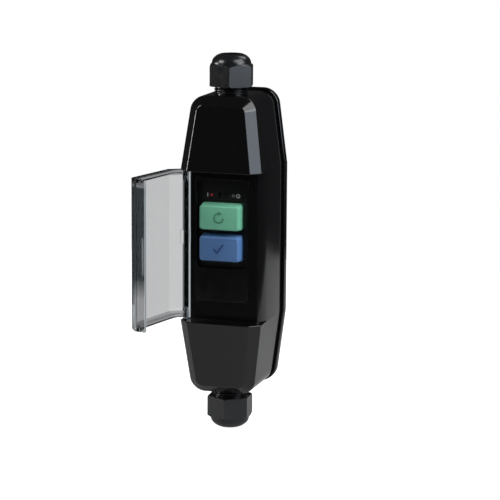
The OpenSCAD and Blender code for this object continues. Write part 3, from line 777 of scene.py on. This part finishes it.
def make_button(name, height):
    """Key with drafted sides, a rounded face, a lip behind the plate and a stem."""
    half_w, half_h = BUTTON_W / 2, BUTTON_H / 2
    centre = (PANEL_X, 0, height)
    button = block(name, (PANEL_X - half_w, BUTTON_FRONT, height - half_h),
                   (PANEL_X + half_w, LIP_FRONT, height + half_h))
    edit(button)
    slice_at((0, BUTTON_NECK, 0), (0, 1, 0))
    choose("EDGE", along_y)
    round_edges(BUTTON_R, BUTTON_STEPS)
    choose("VERT", lambda p: near(p.y, BUTTON_FRONT))
    stretch(1 - BUTTON_DRAFT / half_w, 1, 1 - BUTTON_DRAFT / half_h, centre)
    round_outline(faces_front, BUTTON_FACE_R, BUTTON_FACE_STEPS)
    choose("FACE", faces_back)
    draw_back(LIP_STEP)
    stretch(1 + BUTTON_LIP / half_w, 1, 1 + BUTTON_LIP / half_h, centre)
    draw_back(LIP_BACK - LIP_FRONT)
    done()
    weld(button, rod("stem", (PANEL_X, (STEM_ROOT + STEM_END) / 2, height),
                     STEM_R, STEM_END - STEM_ROOT, "Y", STEM_SIDES))
    soften(button, BUTTON_EDGE, steps=2, sharper_than=50)
    return button


def make_spring(name, node):
    """Return spring behind a key: a ring of wire, wound along Y between the cap and the board."""
    low, high = span(node)
    pitch = (high.y - low.y - 2 * SPRING_WIRE) / SPRING_TURNS
    start_clean()
    bpy.ops.mesh.primitive_circle_add(
        vertices=SPRING_SIDES, radius=SPRING_WIRE * MM, location=(SPRING_R * MM, 0, 0),
        rotation=(math.pi / 2, 0, 0))
    spring = settle(name)
    finish_with(spring, "SCREW", axis="Z", angle=2 * math.pi, screw_offset=pitch * MM,
                iterations=SPRING_TURNS, steps=SPRING_STEPS, render_steps=SPRING_STEPS,
                use_smooth_shade=True)
    edit(spring)
    bpy.ops.mesh.select_all(action="SELECT")
    bpy.ops.mesh.fill_holes(sides=0)
    bpy.ops.mesh.select_all(action="SELECT")
    bpy.ops.mesh.normals_make_consistent(inside=False)
    done()
    spring.rotation_euler = (-math.pi / 2, 0, 0)
    spring.location = Vector((PANEL_X, low.y + SPRING_WIRE, (low.z + high.z) / 2)) * MM
    bpy.ops.object.transform_apply(location=True, rotation=True, scale=True)
    smooth(spring)
    return spring


def shorten(spring):
    """Gives a spring a mesh of its own."""
    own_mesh(spring)


def round_arrow(name):
    """Raised arrow on the upper key that goes three quarters round."""
    face = (PANEL_X, BUTTON_FRONT, RESET_Z)
    ring = rod(name, face, SIGN_R + SIGN_LINE / 2, 2 * SIGN_PROUD, "Y")
    carve(ring, rod("arrow_hole", face, SIGN_R - SIGN_LINE / 2, 2 * PAST, "Y"),
          block("arrow_gap", (PANEL_X, BUTTON_FRONT - PAST, RESET_Z),
                (PANEL_X + ARROW_GAP, BUTTON_FRONT + PAST, RESET_Z + ARROW_GAP)))
    weld(ring, rod("arrow_head", (PANEL_X + ARROW_LEAD, BUTTON_FRONT, RESET_Z + SIGN_R), ARROW_HEAD_R,
                   2 * SIGN_PROUD - SHY, "Y", sides=3, spin=90))
    soften(ring, SIGN_EDGE, steps=2)
    return ring


def tick(name):
    """Raised tick of two bars on the lower key."""
    long_bar = bar(name, (PANEL_X + TICK_LONG_X, BUTTON_FRONT, TEST_Z + TICK_LONG_Z),
                   TICK_LONG, SIGN_LINE, 2 * SIGN_PROUD, TICK_LONG_LEAN)
    weld(long_bar, bar("tick_short", (PANEL_X + TICK_SHORT_X, BUTTON_FRONT, TEST_Z + TICK_SHORT_Z),
                       TICK_SHORT, SIGN_LINE, 2 * SIGN_PROUD - SHY, TICK_SHORT_LEAN))
    soften(long_bar, SIGN_EDGE, steps=2)
    return long_bar


def make_marks():
    """Printed marks beside the flag window: line and red spot for on, ring and empty spot for off."""
    line_at, ring_at, red_at, rim_at = (
        (PANEL_X + x, INK_FACE, WINDOW_Z) for x in (ON_LINE_X, OFF_RING_X, ON_SPOT_X, OFF_SPOT_X))
    line = bar("on_line", line_at, ON_LINE_LEN, ON_LINE_W, INK)
    ring = rod("off_ring", ring_at, OFF_RING_R, INK, "Y")
    carve(ring, rod("ring_hole", ring_at, OFF_RING_HOLE_R, PAST, "Y"))
    red = rod("on_spot", red_at, SPOT_R, INK, "Y", SPOT_SIDES)
    rim = rod("off_spot", rim_at, SPOT_R, INK, "Y", SPOT_SIDES)
    carve(rim, rod("spot_hole", rim_at, SPOT_HOLE_R, PAST, "Y"))
    for mark, material in ((line, INK_WHITE), (ring, INK_WHITE), (red, INK_RED), (rim, INK_WHITE)):
        soften(mark, INK_EDGE, steps=1)
        show(mark, "case", material, "module")


# Glands


def make_thread(name, end, way):
    """Ridged neck of a gland: rings from the body's end outwards, then the bore back in."""
    root = THREAD_R - THREAD_DEPTH
    turns = int((NECK - THREAD_ROOM) / THREAD_PITCH)
    profile = [(NECK_HOLE_R, -WALL / 2), (root, -WALL / 2)]
    for turn in range(turns):
        start = THREAD_START + turn * THREAD_PITCH
        profile += [(root, start), (THREAD_R, start + THREAD_PITCH * CREST_START),
                    (THREAD_R, start + THREAD_PITCH * CREST_END),
                    (root, start + THREAD_PITCH * ROOT_START)]
    profile += [(root, NECK), (NECK_BORE_R, NECK), (NECK_BORE_R, NECK - SEAL_DEPTH),
                (NECK_HOLE_R, NECK - SEAL_DEPTH)]
    piece = turned(name, end, way, profile)
    soften(piece, THREAD_EDGE, steps=2)
    return piece


def make_nut(name, base, way, turn):
    """Domed hexagon nut: a turned ring cut to six flats."""
    shoulder = NUT_LEN - DOME
    wide = NUT_CORNER + SHY
    dome_r = NUT_FLATS / 2 - DOME_SETBACK
    dome_end = math.acos(1 - (dome_r - MOUTH_R - MOUTH_LAND) / DOME_BOW)
    profile = [(NUT_BORE_R, 0), (NUT_CORNER - NUT_FOOT_IN, 0), (wide, NUT_FOOT),
               (wide, shoulder - NUT_SHOULDER)]
    for step in range(DOME_STEPS + 1):
        lean = dome_end * step / DOME_STEPS
        rise = DOME * math.sin(lean) / math.sin(dome_end)
        profile.append((dome_r - DOME_BOW * (1 - math.cos(lean)), shoulder + rise))
    profile += [(MOUTH_R, NUT_LEN), (MOUTH_R, POCKET_END), (POCKET_R, POCKET_END),
                (POCKET_R, NUT_BORE_LEN), (NUT_BORE_R, NUT_BORE_LEN)]
    nut = turned(name, base, way, profile)
    start_clean()
    bpy.ops.mesh.primitive_cylinder_add(
        vertices=6, radius=NUT_CORNER * MM, depth=3 * NUT_LEN * MM, location=(0, 0, base * MM),
        rotation=(0, 0, math.radians(turn)))
    combine(nut, settle("hexagon"), "INTERSECT")
    soften(nut, NUT_EDGE, sharper_than=24)
    return nut


# Shader nodes


def add_node(tree, kind, **settings):
    """Adds a node and sets its sockets, or its own settings, by name."""
    node = tree.nodes.new(kind)
    for name, value in settings.items():
        if name in node.inputs:
            node.inputs[name].default_value = value
        else:
            setattr(node, name, value)
    return node


def feed(tree, value, socket):
    """Links another node's output to a socket, or sets a plain value on it."""
    if isinstance(value, bpy.types.NodeSocket):
        tree.links.new(value, socket)
    else:
        socket.default_value = value


def object_place(tree):
    return tree.nodes.new("ShaderNodeTexCoord").outputs["Object"]


def object_height(tree):
    parts = tree.nodes.new("ShaderNodeSeparateXYZ")
    tree.links.new(object_place(tree), parts.inputs["Vector"])
    return parts.outputs["Z"]


def noise(tree, place, scale, detail, roughness=0.5):
    node = add_node(tree, "ShaderNodeTexNoise", Detail=detail, Roughness=roughness)
    tree.links.new(place, node.inputs["Vector"])
    feed(tree, scale, node.inputs["Scale"])
    return node.outputs["Fac"]


def spread(tree, value, low, high, foot=0.0, top=1.0):
    """Stretches a value's range from low and high to foot and top, and keeps it between them."""
    node = add_node(tree, "ShaderNodeMapRange", **{"From Min": low, "From Max": high})
    feed(tree, value, node.inputs["Value"])
    feed(tree, foot, node.inputs["To Min"])
    feed(tree, top, node.inputs["To Max"])
    return node.outputs["Result"]


def merge(tree, operation, *values, clamp=False):
    """Joins values by one step of arithmetic."""
    node = add_node(tree, "ShaderNodeMath", operation=operation, use_clamp=clamp)
    for socket, value in zip(node.inputs, values):
        feed(tree, value, socket)
    return node.outputs["Value"]


def blend(tree, mask, first, second):
    """Mixes two colours by a mask. A Mix node's colours are its inputs 6 and 7 and its output 2."""
    node = add_node(tree, "ShaderNodeMix", data_type="RGBA")
    for place, value in ((0, mask), (6, first), (7, second)):
        feed(tree, value, node.inputs[place])
    return node.outputs[2]


def ramp(tree, value, start, end, top=1.0, foot=0.0):
    """Goes from its foot at one place to its top at another, both places in millimetres."""
    return spread(tree, value, start * MM, end * MM, foot, top)


def band(tree, value, low, high, edge, top=1.0):
    """Rises at one place and falls at another, with soft edges inside both."""
    rise = ramp(tree, value, low, low + edge, top)
    return merge(tree, "MULTIPLY", rise, ramp(tree, value, high, high - edge))


def colour(red, green, blue):
    return (red, green, blue, 1.0)


# Shared surfaces

COLOUR_SOCKET = "NodeSocketColor"
VALUE_SOCKET = "NodeSocketFloat"


def new_group(name, inputs):
    """Shader group with given inputs, and with colour, roughness and height as outputs."""
    group = bpy.data.node_groups.new(name, "ShaderNodeTree")
    for socket, value in inputs.items():
        kind = COLOUR_SOCKET if isinstance(value, tuple) else VALUE_SOCKET
        made = group.interface.new_socket(socket, in_out="INPUT", socket_type=kind)
        made.default_value = value
    for socket, kind in (("Colour", COLOUR_SOCKET), ("Roughness", VALUE_SOCKET), ("Height", VALUE_SOCKET)):
        group.interface.new_socket(socket, in_out="OUTPUT", socket_type=kind)
    return group, group.nodes.new("NodeGroupInput").outputs, group.nodes.new("NodeGroupOutput").inputs


def moulded_group():
    """Moulded plastic: faint cloudy tone, uneven gloss and a fine sparked grain."""
    group, given, out = new_group("moulded_surface", {
        "Colour": colour(0.5, 0.5, 0.5), "Shade": colour(0.4, 0.4, 0.4),
        "Gloss Low": 0.3, "Gloss High": 0.4, "Grain Scale": 5000.0})
    place = object_place(group)
    cloud = noise(group, place, scale=160.0, detail=4.0, roughness=0.6)
    grain = noise(group, place, scale=given["Grain Scale"], detail=2.0)
    shaded = spread(group, cloud, low=0.35, high=0.65)
    tone = blend(group, shaded, given["Shade"], given["Colour"])
    gloss = spread(group, cloud, 0.3, 0.7, foot=given["Gloss Low"], top=given["Gloss High"])
    group.links.new(tone, out["Colour"])
    group.links.new(gloss, out["Roughness"])
    group.links.new(grain, out["Height"])
    return group


def metal_group():
    """Drawn or stamped metal: streaks along one way, uneven tarnish and fine scratches."""
    group, given, out = new_group("worked_metal", {
        "Colour": colour(0.7, 0.7, 0.7), "Tarnish": colour(0.4, 0.4, 0.4),
        "Gloss Low": 0.2, "Gloss High": 0.4})
    place = object_place(group)
    squeeze = add_node(group, "ShaderNodeMapping", Scale=(1.0, 1.0, 0.08))
    group.links.new(place, squeeze.inputs["Vector"])
    streak = noise(group, squeeze.outputs["Vector"], scale=6000.0, detail=3.0)
    cloud = noise(group, place, scale=420.0, detail=5.0, roughness=0.65)
    clean = spread(group, cloud, low=0.3, high=0.62)
    tone = blend(group, clean, given["Tarnish"], given["Colour"])
    gloss = spread(group, streak, 0.3, 0.7, foot=given["Gloss Low"], top=given["Gloss High"])
    group.links.new(tone, out["Colour"])
    group.links.new(gloss, out["Roughness"])
    group.links.new(streak, out["Height"])
    return group


MOULDED = moulded_group()
METAL = metal_group()


# Materials


def principled(name):
    """Plain material, its node tree and its surface node."""
    material = bpy.data.materials.new(name)
    material.use_nodes = True
    return material, material.node_tree, material.node_tree.nodes["Principled BSDF"]


def place_group(tree, group, values):
    """Places a shared group in a material with its own values."""
    source = tree.nodes.new("ShaderNodeGroup")
    source.node_tree = group
    for socket, value in values.items():
        source.inputs[socket].default_value = value
    return source


def textured(name, group, values, bump, **surface):
    """Material whose colour, gloss and fine relief come from a shared group."""
    material, tree, shader = principled(name)
    source = place_group(tree, group, values)
    for socket, value in surface.items():
        shader.inputs[socket.replace("_", " ")].default_value = value
    relief = add_node(tree, "ShaderNodeBump", Strength=bump, Distance=RELIEF * MM)
    tree.links.new(source.outputs["Colour"], shader.inputs["Base Color"])
    tree.links.new(source.outputs["Roughness"], shader.inputs["Roughness"])
    tree.links.new(source.outputs["Height"], relief.inputs["Height"])
    tree.links.new(relief.outputs["Normal"], shader.inputs["Normal"])
    return material


def moulded_values(tone, gloss, grain, shade):
    """Values for the moulded surface. Its clouds are darker than its tone by a share."""
    darker = [part * shade for part in tone]
    return {"Colour": colour(*tone), "Shade": colour(*darker),
            "Gloss Low": gloss[0], "Gloss High": gloss[1], "Grain Scale": grain}


def plastic(name, tone, gloss, grain, bump, shade=PLASTIC_SHADE):
    return textured(name, MOULDED, moulded_values(tone, gloss, grain, shade), bump)


def metal(name, tone, tarnish):
    return textured(name, METAL, {
        "Colour": colour(*tone), "Tarnish": colour(*tarnish),
        "Gloss Low": METAL_GLOSS[0], "Gloss High": METAL_GLOSS[1]}, METAL_BUMP, Metallic=1.0)


def clear_plastic(name, tint, bend):
    """Clear moulding with very slightly uneven faces."""
    values = moulded_values(tint, CLEAR_GLOSS, CLEAR_GRAIN, CLEAR_SHADE)
    return textured(name, MOULDED, values, CLEAR_BUMP, Transmission_Weight=1.0, IOR=bend)


def closed_place(tree):
    """Place on the lid as if it were closed: across and back from the hinge, and height."""
    turn = math.radians(-LID_OPEN)
    pivot = add_node(tree, "ShaderNodeVectorMath", operation="SUBTRACT")
    pivot.inputs[1].default_value = (HINGE_X * MM, HINGE_Y * MM, 0)
    tree.links.new(object_place(tree), pivot.inputs[0])
    closed = []
    for way in ((math.cos(turn), math.sin(turn), 0), (-math.sin(turn), math.cos(turn), 0)):
        along = add_node(tree, "ShaderNodeVectorMath", operation="DOT_PRODUCT")
        along.inputs[1].default_value = way
        tree.links.new(pivot.outputs["Vector"], along.inputs[0])
        closed.append(along.outputs["Value"])
    return closed[0], closed[1], object_height(tree)


def painted_reflection_mask(tree, across, depth, height):
    """Painted dark reflection on the lid: free side less the latch and the upper end, hinge side and end
    rims.
    """
    free_side = merge(tree, "MULTIPLY", ramp(tree, across, FREE_REFLECTION, FREE_REFLECTION + FREE_FADE),
                      ramp(tree, height, REFLECTION_LOW, REFLECTION_HIGH))
    latch_low, latch_high = MIDDLE - LATCH_LEN / 2, MIDDLE + LATCH_LEN / 2
    latch = merge(tree, "MULTIPLY", band(tree, depth, LATCH_LIGHT_FRONT, LATCH_LIGHT_BACK, LATCH_FADE),
                  band(tree, height, latch_low, latch_high, LATCH_END_FADE, LATCH_CLEARING))
    top = ramp(tree, height, LID_HIGH - TOP_LIGHT, LID_HIGH - TOP_LIGHT_FULL, TOP_CLEARING)
    free_side = merge(tree, "SUBTRACT", free_side, merge(tree, "MAXIMUM", latch, top))
    hinge_side = merge(tree, "MULTIPLY", ramp(tree, across, HINGE_SKIN, HINGE_SKIN_FULL),
                       ramp(tree, depth, HINGE_REFLECTION, HINGE_REFLECTION + HINGE_FADE))
    upper, lower = LID_HIGH - RIM_T, LID_LOW + RIM_T
    rims = merge(tree, "MAXIMUM", ramp(tree, height, upper - RIM_FADE, upper, UPPER_RIM_REFLECTION),
                 ramp(tree, height, lower + RIM_FADE, lower, LOWER_RIM_REFLECTION))
    return merge(tree, "MAXIMUM", merge(tree, "MAXIMUM", free_side, hinge_side), rims)


def painted_highlight_mask(tree, across, depth, height):
    """Painted highlights on the lid, glowing by emission: the ends of its flanges and its folded corner,
    fainter where the painted dark reflection lies.
    """
    flange = FLANGE_END - HINGE_Y
    ends = ramp(tree, depth, flange - FLANGE_LIGHT, flange - FLANGE_LIGHT_FULL)
    fold = FRONT + CHAMFER - HINGE_Y
    side = HALF_W - HINGE_X
    lit = merge(tree, "MULTIPLY", ramp(tree, across, side - CORNER_SIDE, side - CORNER_SIDE_FULL),
                ramp(tree, height, REFLECTION_HIGH, REFLECTION_LOW, foot=CORNER_GLOW))
    folded = band(tree, depth, fold - CORNER_FRONT, fold + CORNER_BACK, CORNER_FADE)
    return merge(tree, "MAXIMUM", ends, merge(tree, "MULTIPLY", folded, lit))


def lid_material():
    """Clear plastic with a painted dark reflection on its sides and rims, and painted highlights that glow
    on its flange ends and folded corner.
    """
    material = clear_plastic("lid_clear", LID_TINT, LID_BEND)
    tree = material.node_tree
    shader = tree.nodes["Principled BSDF"]
    clear = shader.inputs["Base Color"].links[0].from_socket
    place = closed_place(tree)
    # Painted dark reflection laid over the clear tint
    painted_dark = blend(tree, painted_reflection_mask(tree, *place), clear, colour(*LID_PAINTED_REFLECTION))
    # Painted highlight that glows by emission on the flange ends and the folded corner
    glow = blend(tree, painted_highlight_mask(tree, *place), colour(0, 0, 0), colour(*LID_PAINTED_HIGHLIGHT))
    shader.inputs["Emission Strength"].default_value = 1.0
    tree.links.new(painted_dark, shader.inputs["Base Color"])
    tree.links.new(glow, shader.inputs["Emission Color"])
    return material


def flag_material():
    """Flag of two halves, dark below and red above, divided at its middle height."""
    material, tree, shader = principled("flag_halves")
    upper = merge(tree, "GREATER_THAN", object_height(tree), FLAG_Z * MM)
    dark, red = (
        place_group(tree, MOULDED, moulded_values(tone, FLAG_GLOSS, FLAG_GRAIN, PLASTIC_SHADE))
        for tone in (FLAG_DARK, FLAG_RED))
    halves = blend(tree, upper, dark.outputs["Colour"], red.outputs["Colour"])
    tree.links.new(halves, shader.inputs["Base Color"])
    tree.links.new(dark.outputs["Roughness"], shader.inputs["Roughness"])
    return material


BLACK = plastic("black_case", (0.0034, 0.0034, 0.0038), (0.13, 0.17), 900.0, 0.02, 0.92)
FASCIA = plastic("fascia_film", (0.004, 0.004, 0.0045), (0.17, 0.22), 1400.0, 0.04)
MODULE = plastic("module_black", (0.0045, 0.0045, 0.005), (0.28, 0.34), 3000.0, 0.05)
GREEN = plastic("green_key", (0.17, 0.50, 0.325), (0.4, 0.48), 4200.0, 0.1, 0.96)
BLUE = plastic("blue_key", (0.095, 0.205, 0.44), (0.4, 0.48), 4200.0, 0.1, 0.96)
# Signs: the keys' own plastic, darkened as painted shade on the raised marks
GREEN_SIGN_SHADED = plastic("green_sign_painted_shade", (0.075, 0.27, 0.165), (0.4, 0.5), 4200.0, 0.1, 0.96)
BLUE_SIGN_SHADED = plastic("blue_sign_painted_shade", (0.035, 0.085, 0.24), (0.4, 0.5), 4200.0, 0.1, 0.96)
INK_WHITE = plastic("white_ink", (0.5, 0.5, 0.5), (0.5, 0.6), 4200.0, 0.05)
INK_RED = plastic("red_ink", (0.45, 0.03, 0.03), (0.5, 0.6), 4200.0, 0.05)
GLAND = plastic("gland_nylon", (0.009, 0.0094, 0.0105), (0.2, 0.27), 1600.0, 0.06, 0.9)
THREAD = plastic("neck_thread", (0.006, 0.006, 0.0065), (0.2, 0.26), 1600.0, 0.05, 0.9)
RUBBER = plastic("seal_rubber", (0.012, 0.012, 0.012), (0.6, 0.75), 3000.0, 0.3)
CARRIER = plastic("pale_carrier", (0.62, 0.58, 0.48), (0.38, 0.5), 5000.0, 0.1)
WASHER = plastic("white_nylon", (0.62, 0.61, 0.57), (0.35, 0.45), 5000.0, 0.08)
BOARD = plastic("board_laminate", (0.03, 0.15, 0.06), (0.3, 0.42), 2600.0, 0.12, 0.7)
PARTS = plastic("part_bodies", (0.03, 0.03, 0.034), (0.35, 0.5), 5200.0, 0.12)
CORE = plastic("ring_ferrite", (0.035, 0.033, 0.032), (0.5, 0.62), 2600.0, 0.25)
STEEL = metal("plated_steel", (0.62, 0.62, 0.63), (0.45, 0.45, 0.46))
BRASS = metal("terminal_brass", (0.7, 0.5, 0.2), (0.5, 0.34, 0.13))
COPPER = metal("bare_copper", (0.72, 0.33, 0.18), (0.5, 0.2, 0.1))
SPRING = metal("spring_wire", (0.5, 0.5, 0.52), (0.35, 0.35, 0.37))
LID = lid_material()
WINDOW = clear_plastic("window_clear", WINDOW_TINT, WINDOW_BEND)
FLAG = flag_material()

CAD_FINISH = {
    "shell": BLACK, "cover": BLACK, "seal": RUBBER, "fixings": STEEL, "lid": LID, "fascia": FASCIA,
    "module": MODULE, "window": WINDOW, "flag": FLAG, "green_button": GREEN, "blue_button": BLUE,
    "spring": SPRING, "board": BOARD, "components": PARTS, "core": CORE, "copper": COPPER, "brass": BRASS,
    "carriage": CARRIER, "washer": WASHER, "gland": GLAND,
}


def finish_cad_nodes():
    """Every CAD node takes the material of its slot."""
    for row in frame["record"]["subparts"]:
        node = frame["nodes"][row["node"]]
        node.data.materials.clear()
        node.data.materials.append(CAD_FINISH[row["material_slot"]])


# Stage


def straight_through(tree, path):
    """One for a ray that has come through clear parts only.

    Repeated bounces inside a single wall still count, but not its one plain reflection.
    """
    later = merge(tree, "GREATER_THAN", path["Transmission Depth"], SINGLE_WALL + 0.5)
    outside = merge(tree, "MULTIPLY", path["Glossy Depth"], later)
    plain = merge(tree, "COMPARE", path["Glossy Depth"], 1, 0.5)
    glossy = merge(tree, "ADD", outside, plain)
    bounces = merge(tree, "ADD", path["Diffuse Depth"], glossy, clamp=True)
    return merge(tree, "SUBTRACT", path["Is Transmission Ray"], bounces, clamp=True)


def make_world():
    """White behind the object and through its clear parts, and dark in its reflections."""
    world = bpy.data.worlds.new("studio")
    bpy.context.scene.world = world
    world.use_nodes = True
    tree = world.node_tree
    path = tree.nodes.new("ShaderNodeLightPath").outputs
    seen = merge(tree, "MAXIMUM", path["Is Camera Ray"], straight_through(tree, path))
    tone = blend(tree, seen, colour(*STUDIO_DARK), colour(*WHITE))
    tree.links.new(tone, tree.nodes["Background"].inputs["Color"])


def make_floor():
    """Floor that is white for the camera and through clear parts, and glows faintly on the object."""
    floor = block("floor", STAGE_LOW, STAGE_HIGH)
    material, tree, shader = principled("floor_white")
    shader.inputs["Base Color"].default_value = colour(*STAGE_TONE)
    shader.inputs["Roughness"].default_value = STAGE_ROUGHNESS
    shader.inputs["Emission Color"].default_value = colour(*WHITE)
    path = tree.nodes.new("ShaderNodeLightPath").outputs
    glow = spread(tree, path["Is Camera Ray"], 0.0, 1.0, STAGE_GLOW, STAGE_GLOW_SEEN)
    plain = add_node(tree, "ShaderNodeEmission")
    either = tree.nodes.new("ShaderNodeMixShader")
    tree.links.new(glow, shader.inputs["Emission Strength"])
    tree.links.new(straight_through(tree, path), either.inputs[0])
    tree.links.new(shader.outputs["BSDF"], either.inputs[1])
    tree.links.new(plain.outputs["Emission"], either.inputs[2])
    tree.links.new(either.outputs["Shader"], tree.nodes["Material Output"].inputs["Surface"])
    floor.data.materials.append(material)


def way_out(azimuth, elevation):
    """Direction out from the object. Azimuth is measured to the right of the front."""
    turn, rise = math.radians(azimuth), math.radians(elevation)
    return Vector((math.sin(turn) * math.cos(rise), -math.cos(turn) * math.cos(rise), math.sin(rise)))


def area_light(name, azimuth, elevation, distance, size, power, tone=WHITE):
    """Square soft light that aims at the middle of the object."""
    way = way_out(azimuth, elevation)
    place = Vector(LIGHT_AIM) * MM + way * distance
    start_clean()
    bpy.ops.object.light_add(type="AREA", location=place, rotation=way.to_track_quat("Z", "Y").to_euler())
    light = bpy.context.object
    light.name = name
    light.data.size = size
    light.data.energy = power
    light.data.color = tone


def make_lights():
    area_light("front_left", azimuth=-52, elevation=34, distance=1.3, size=0.6, power=9)
    area_light("right_soft", azimuth=73, elevation=12, distance=1.2, size=0.6, power=4.4, tone=COOL)
    area_light("left_edge", azimuth=-78, elevation=3, distance=1.2, size=0.3, power=8)
    area_light("right_high", azimuth=75, elevation=40, distance=1.2, size=1.0, power=14)
    area_light("back_top", azimuth=150, elevation=50, distance=1.3, size=0.5, power=2)


def make_camera():
    """Camera a little to the right of the front and a little above the middle, hardly rolled."""
    way = way_out(CAMERA_AZIMUTH, CAMERA_ELEVATION)
    turn = math.radians(CAMERA_AZIMUTH)
    across = Vector((math.cos(turn), math.sin(turn), 0))
    aim = Vector((0, 0, CAMERA_AIM[1])) * MM + across * CAMERA_AIM[0] * MM
    roll = Quaternion(way, math.radians(CAMERA_ROLL))
    start_clean()
    bpy.ops.object.camera_add(
        location=aim + way * CAMERA_DISTANCE, rotation=(roll @ way.to_track_quat("Z", "Y")).to_euler())
    camera = bpy.context.object
    camera.data.angle = math.radians(CAMERA_ANGLE)
    bpy.context.scene.camera = camera


# The whole


def make_keys():
    """Keys with their signs and springs. The lower key and spring are copies of the upper ones."""
    reset_cap = make_button("reset_key_cap", RESET_Z)
    test_cap = copy_of(reset_cap, "test_key_cap", TEST_Z - RESET_Z)
    show(reset_cap, "reset_key", GREEN, "green_button", "reset_button")
    show(test_cap, "test_key", BLUE, "blue_button", "test_button")
    # The raised signs wear painted shade, a darker copy of their key's plastic
    show(round_arrow("reset_sign"), "reset_key", GREEN_SIGN_SHADED, "green_button")
    show(tick("test_sign"), "test_key", BLUE_SIGN_SHADED, "blue_button")
    reset_spring = make_spring("reset_key_spring", "reset_spring")
    test_spring = copy_of(reset_spring, "test_key_spring", TEST_Z - RESET_Z)
    for spring, node, joint in (
            (reset_spring, "reset_spring", "reset_press"), (test_spring, "test_spring", "test_press")):
        show(spring, "case", SPRING, "spring", node)
        shorten(spring)


def make_all():
    show(make_front_shell(), "case", BLACK, "shell", "lower_shell", "middle_shell", "upper_shell")
    show(make_thread("upper_thread", BODY_HIGH, 1), "case", THREAD, "shell")
    show(make_thread("lower_thread", BODY_LOW, -1), "case", THREAD, "shell")
    show(make_rear_cover(), "case", BLACK, "cover", "rear_cover")
    show(make_lid(), "lid", LID, "lid", "clear_lid")
    show(make_fascia(), "case", FASCIA, "fascia", "fascia_plate")
    make_keys()
    show(make_nut("upper_nut_form", upper_nut_low.z, 1, UPPER_NUT_TURN), "upper_nut", GLAND, "gland",
         "upper_gland_nut")
    show(make_nut("lower_nut_form", lower_nut_high.z, -1, LOWER_NUT_TURN), "lower_nut", GLAND, "gland",
         "lower_gland_nut")
    make_marks()


start_clean()
finish_cad_nodes()
make_all()
make_world()
make_floor()
make_lights()
make_camera()
bpy.context.scene.view_settings.view_transform = "Standard"
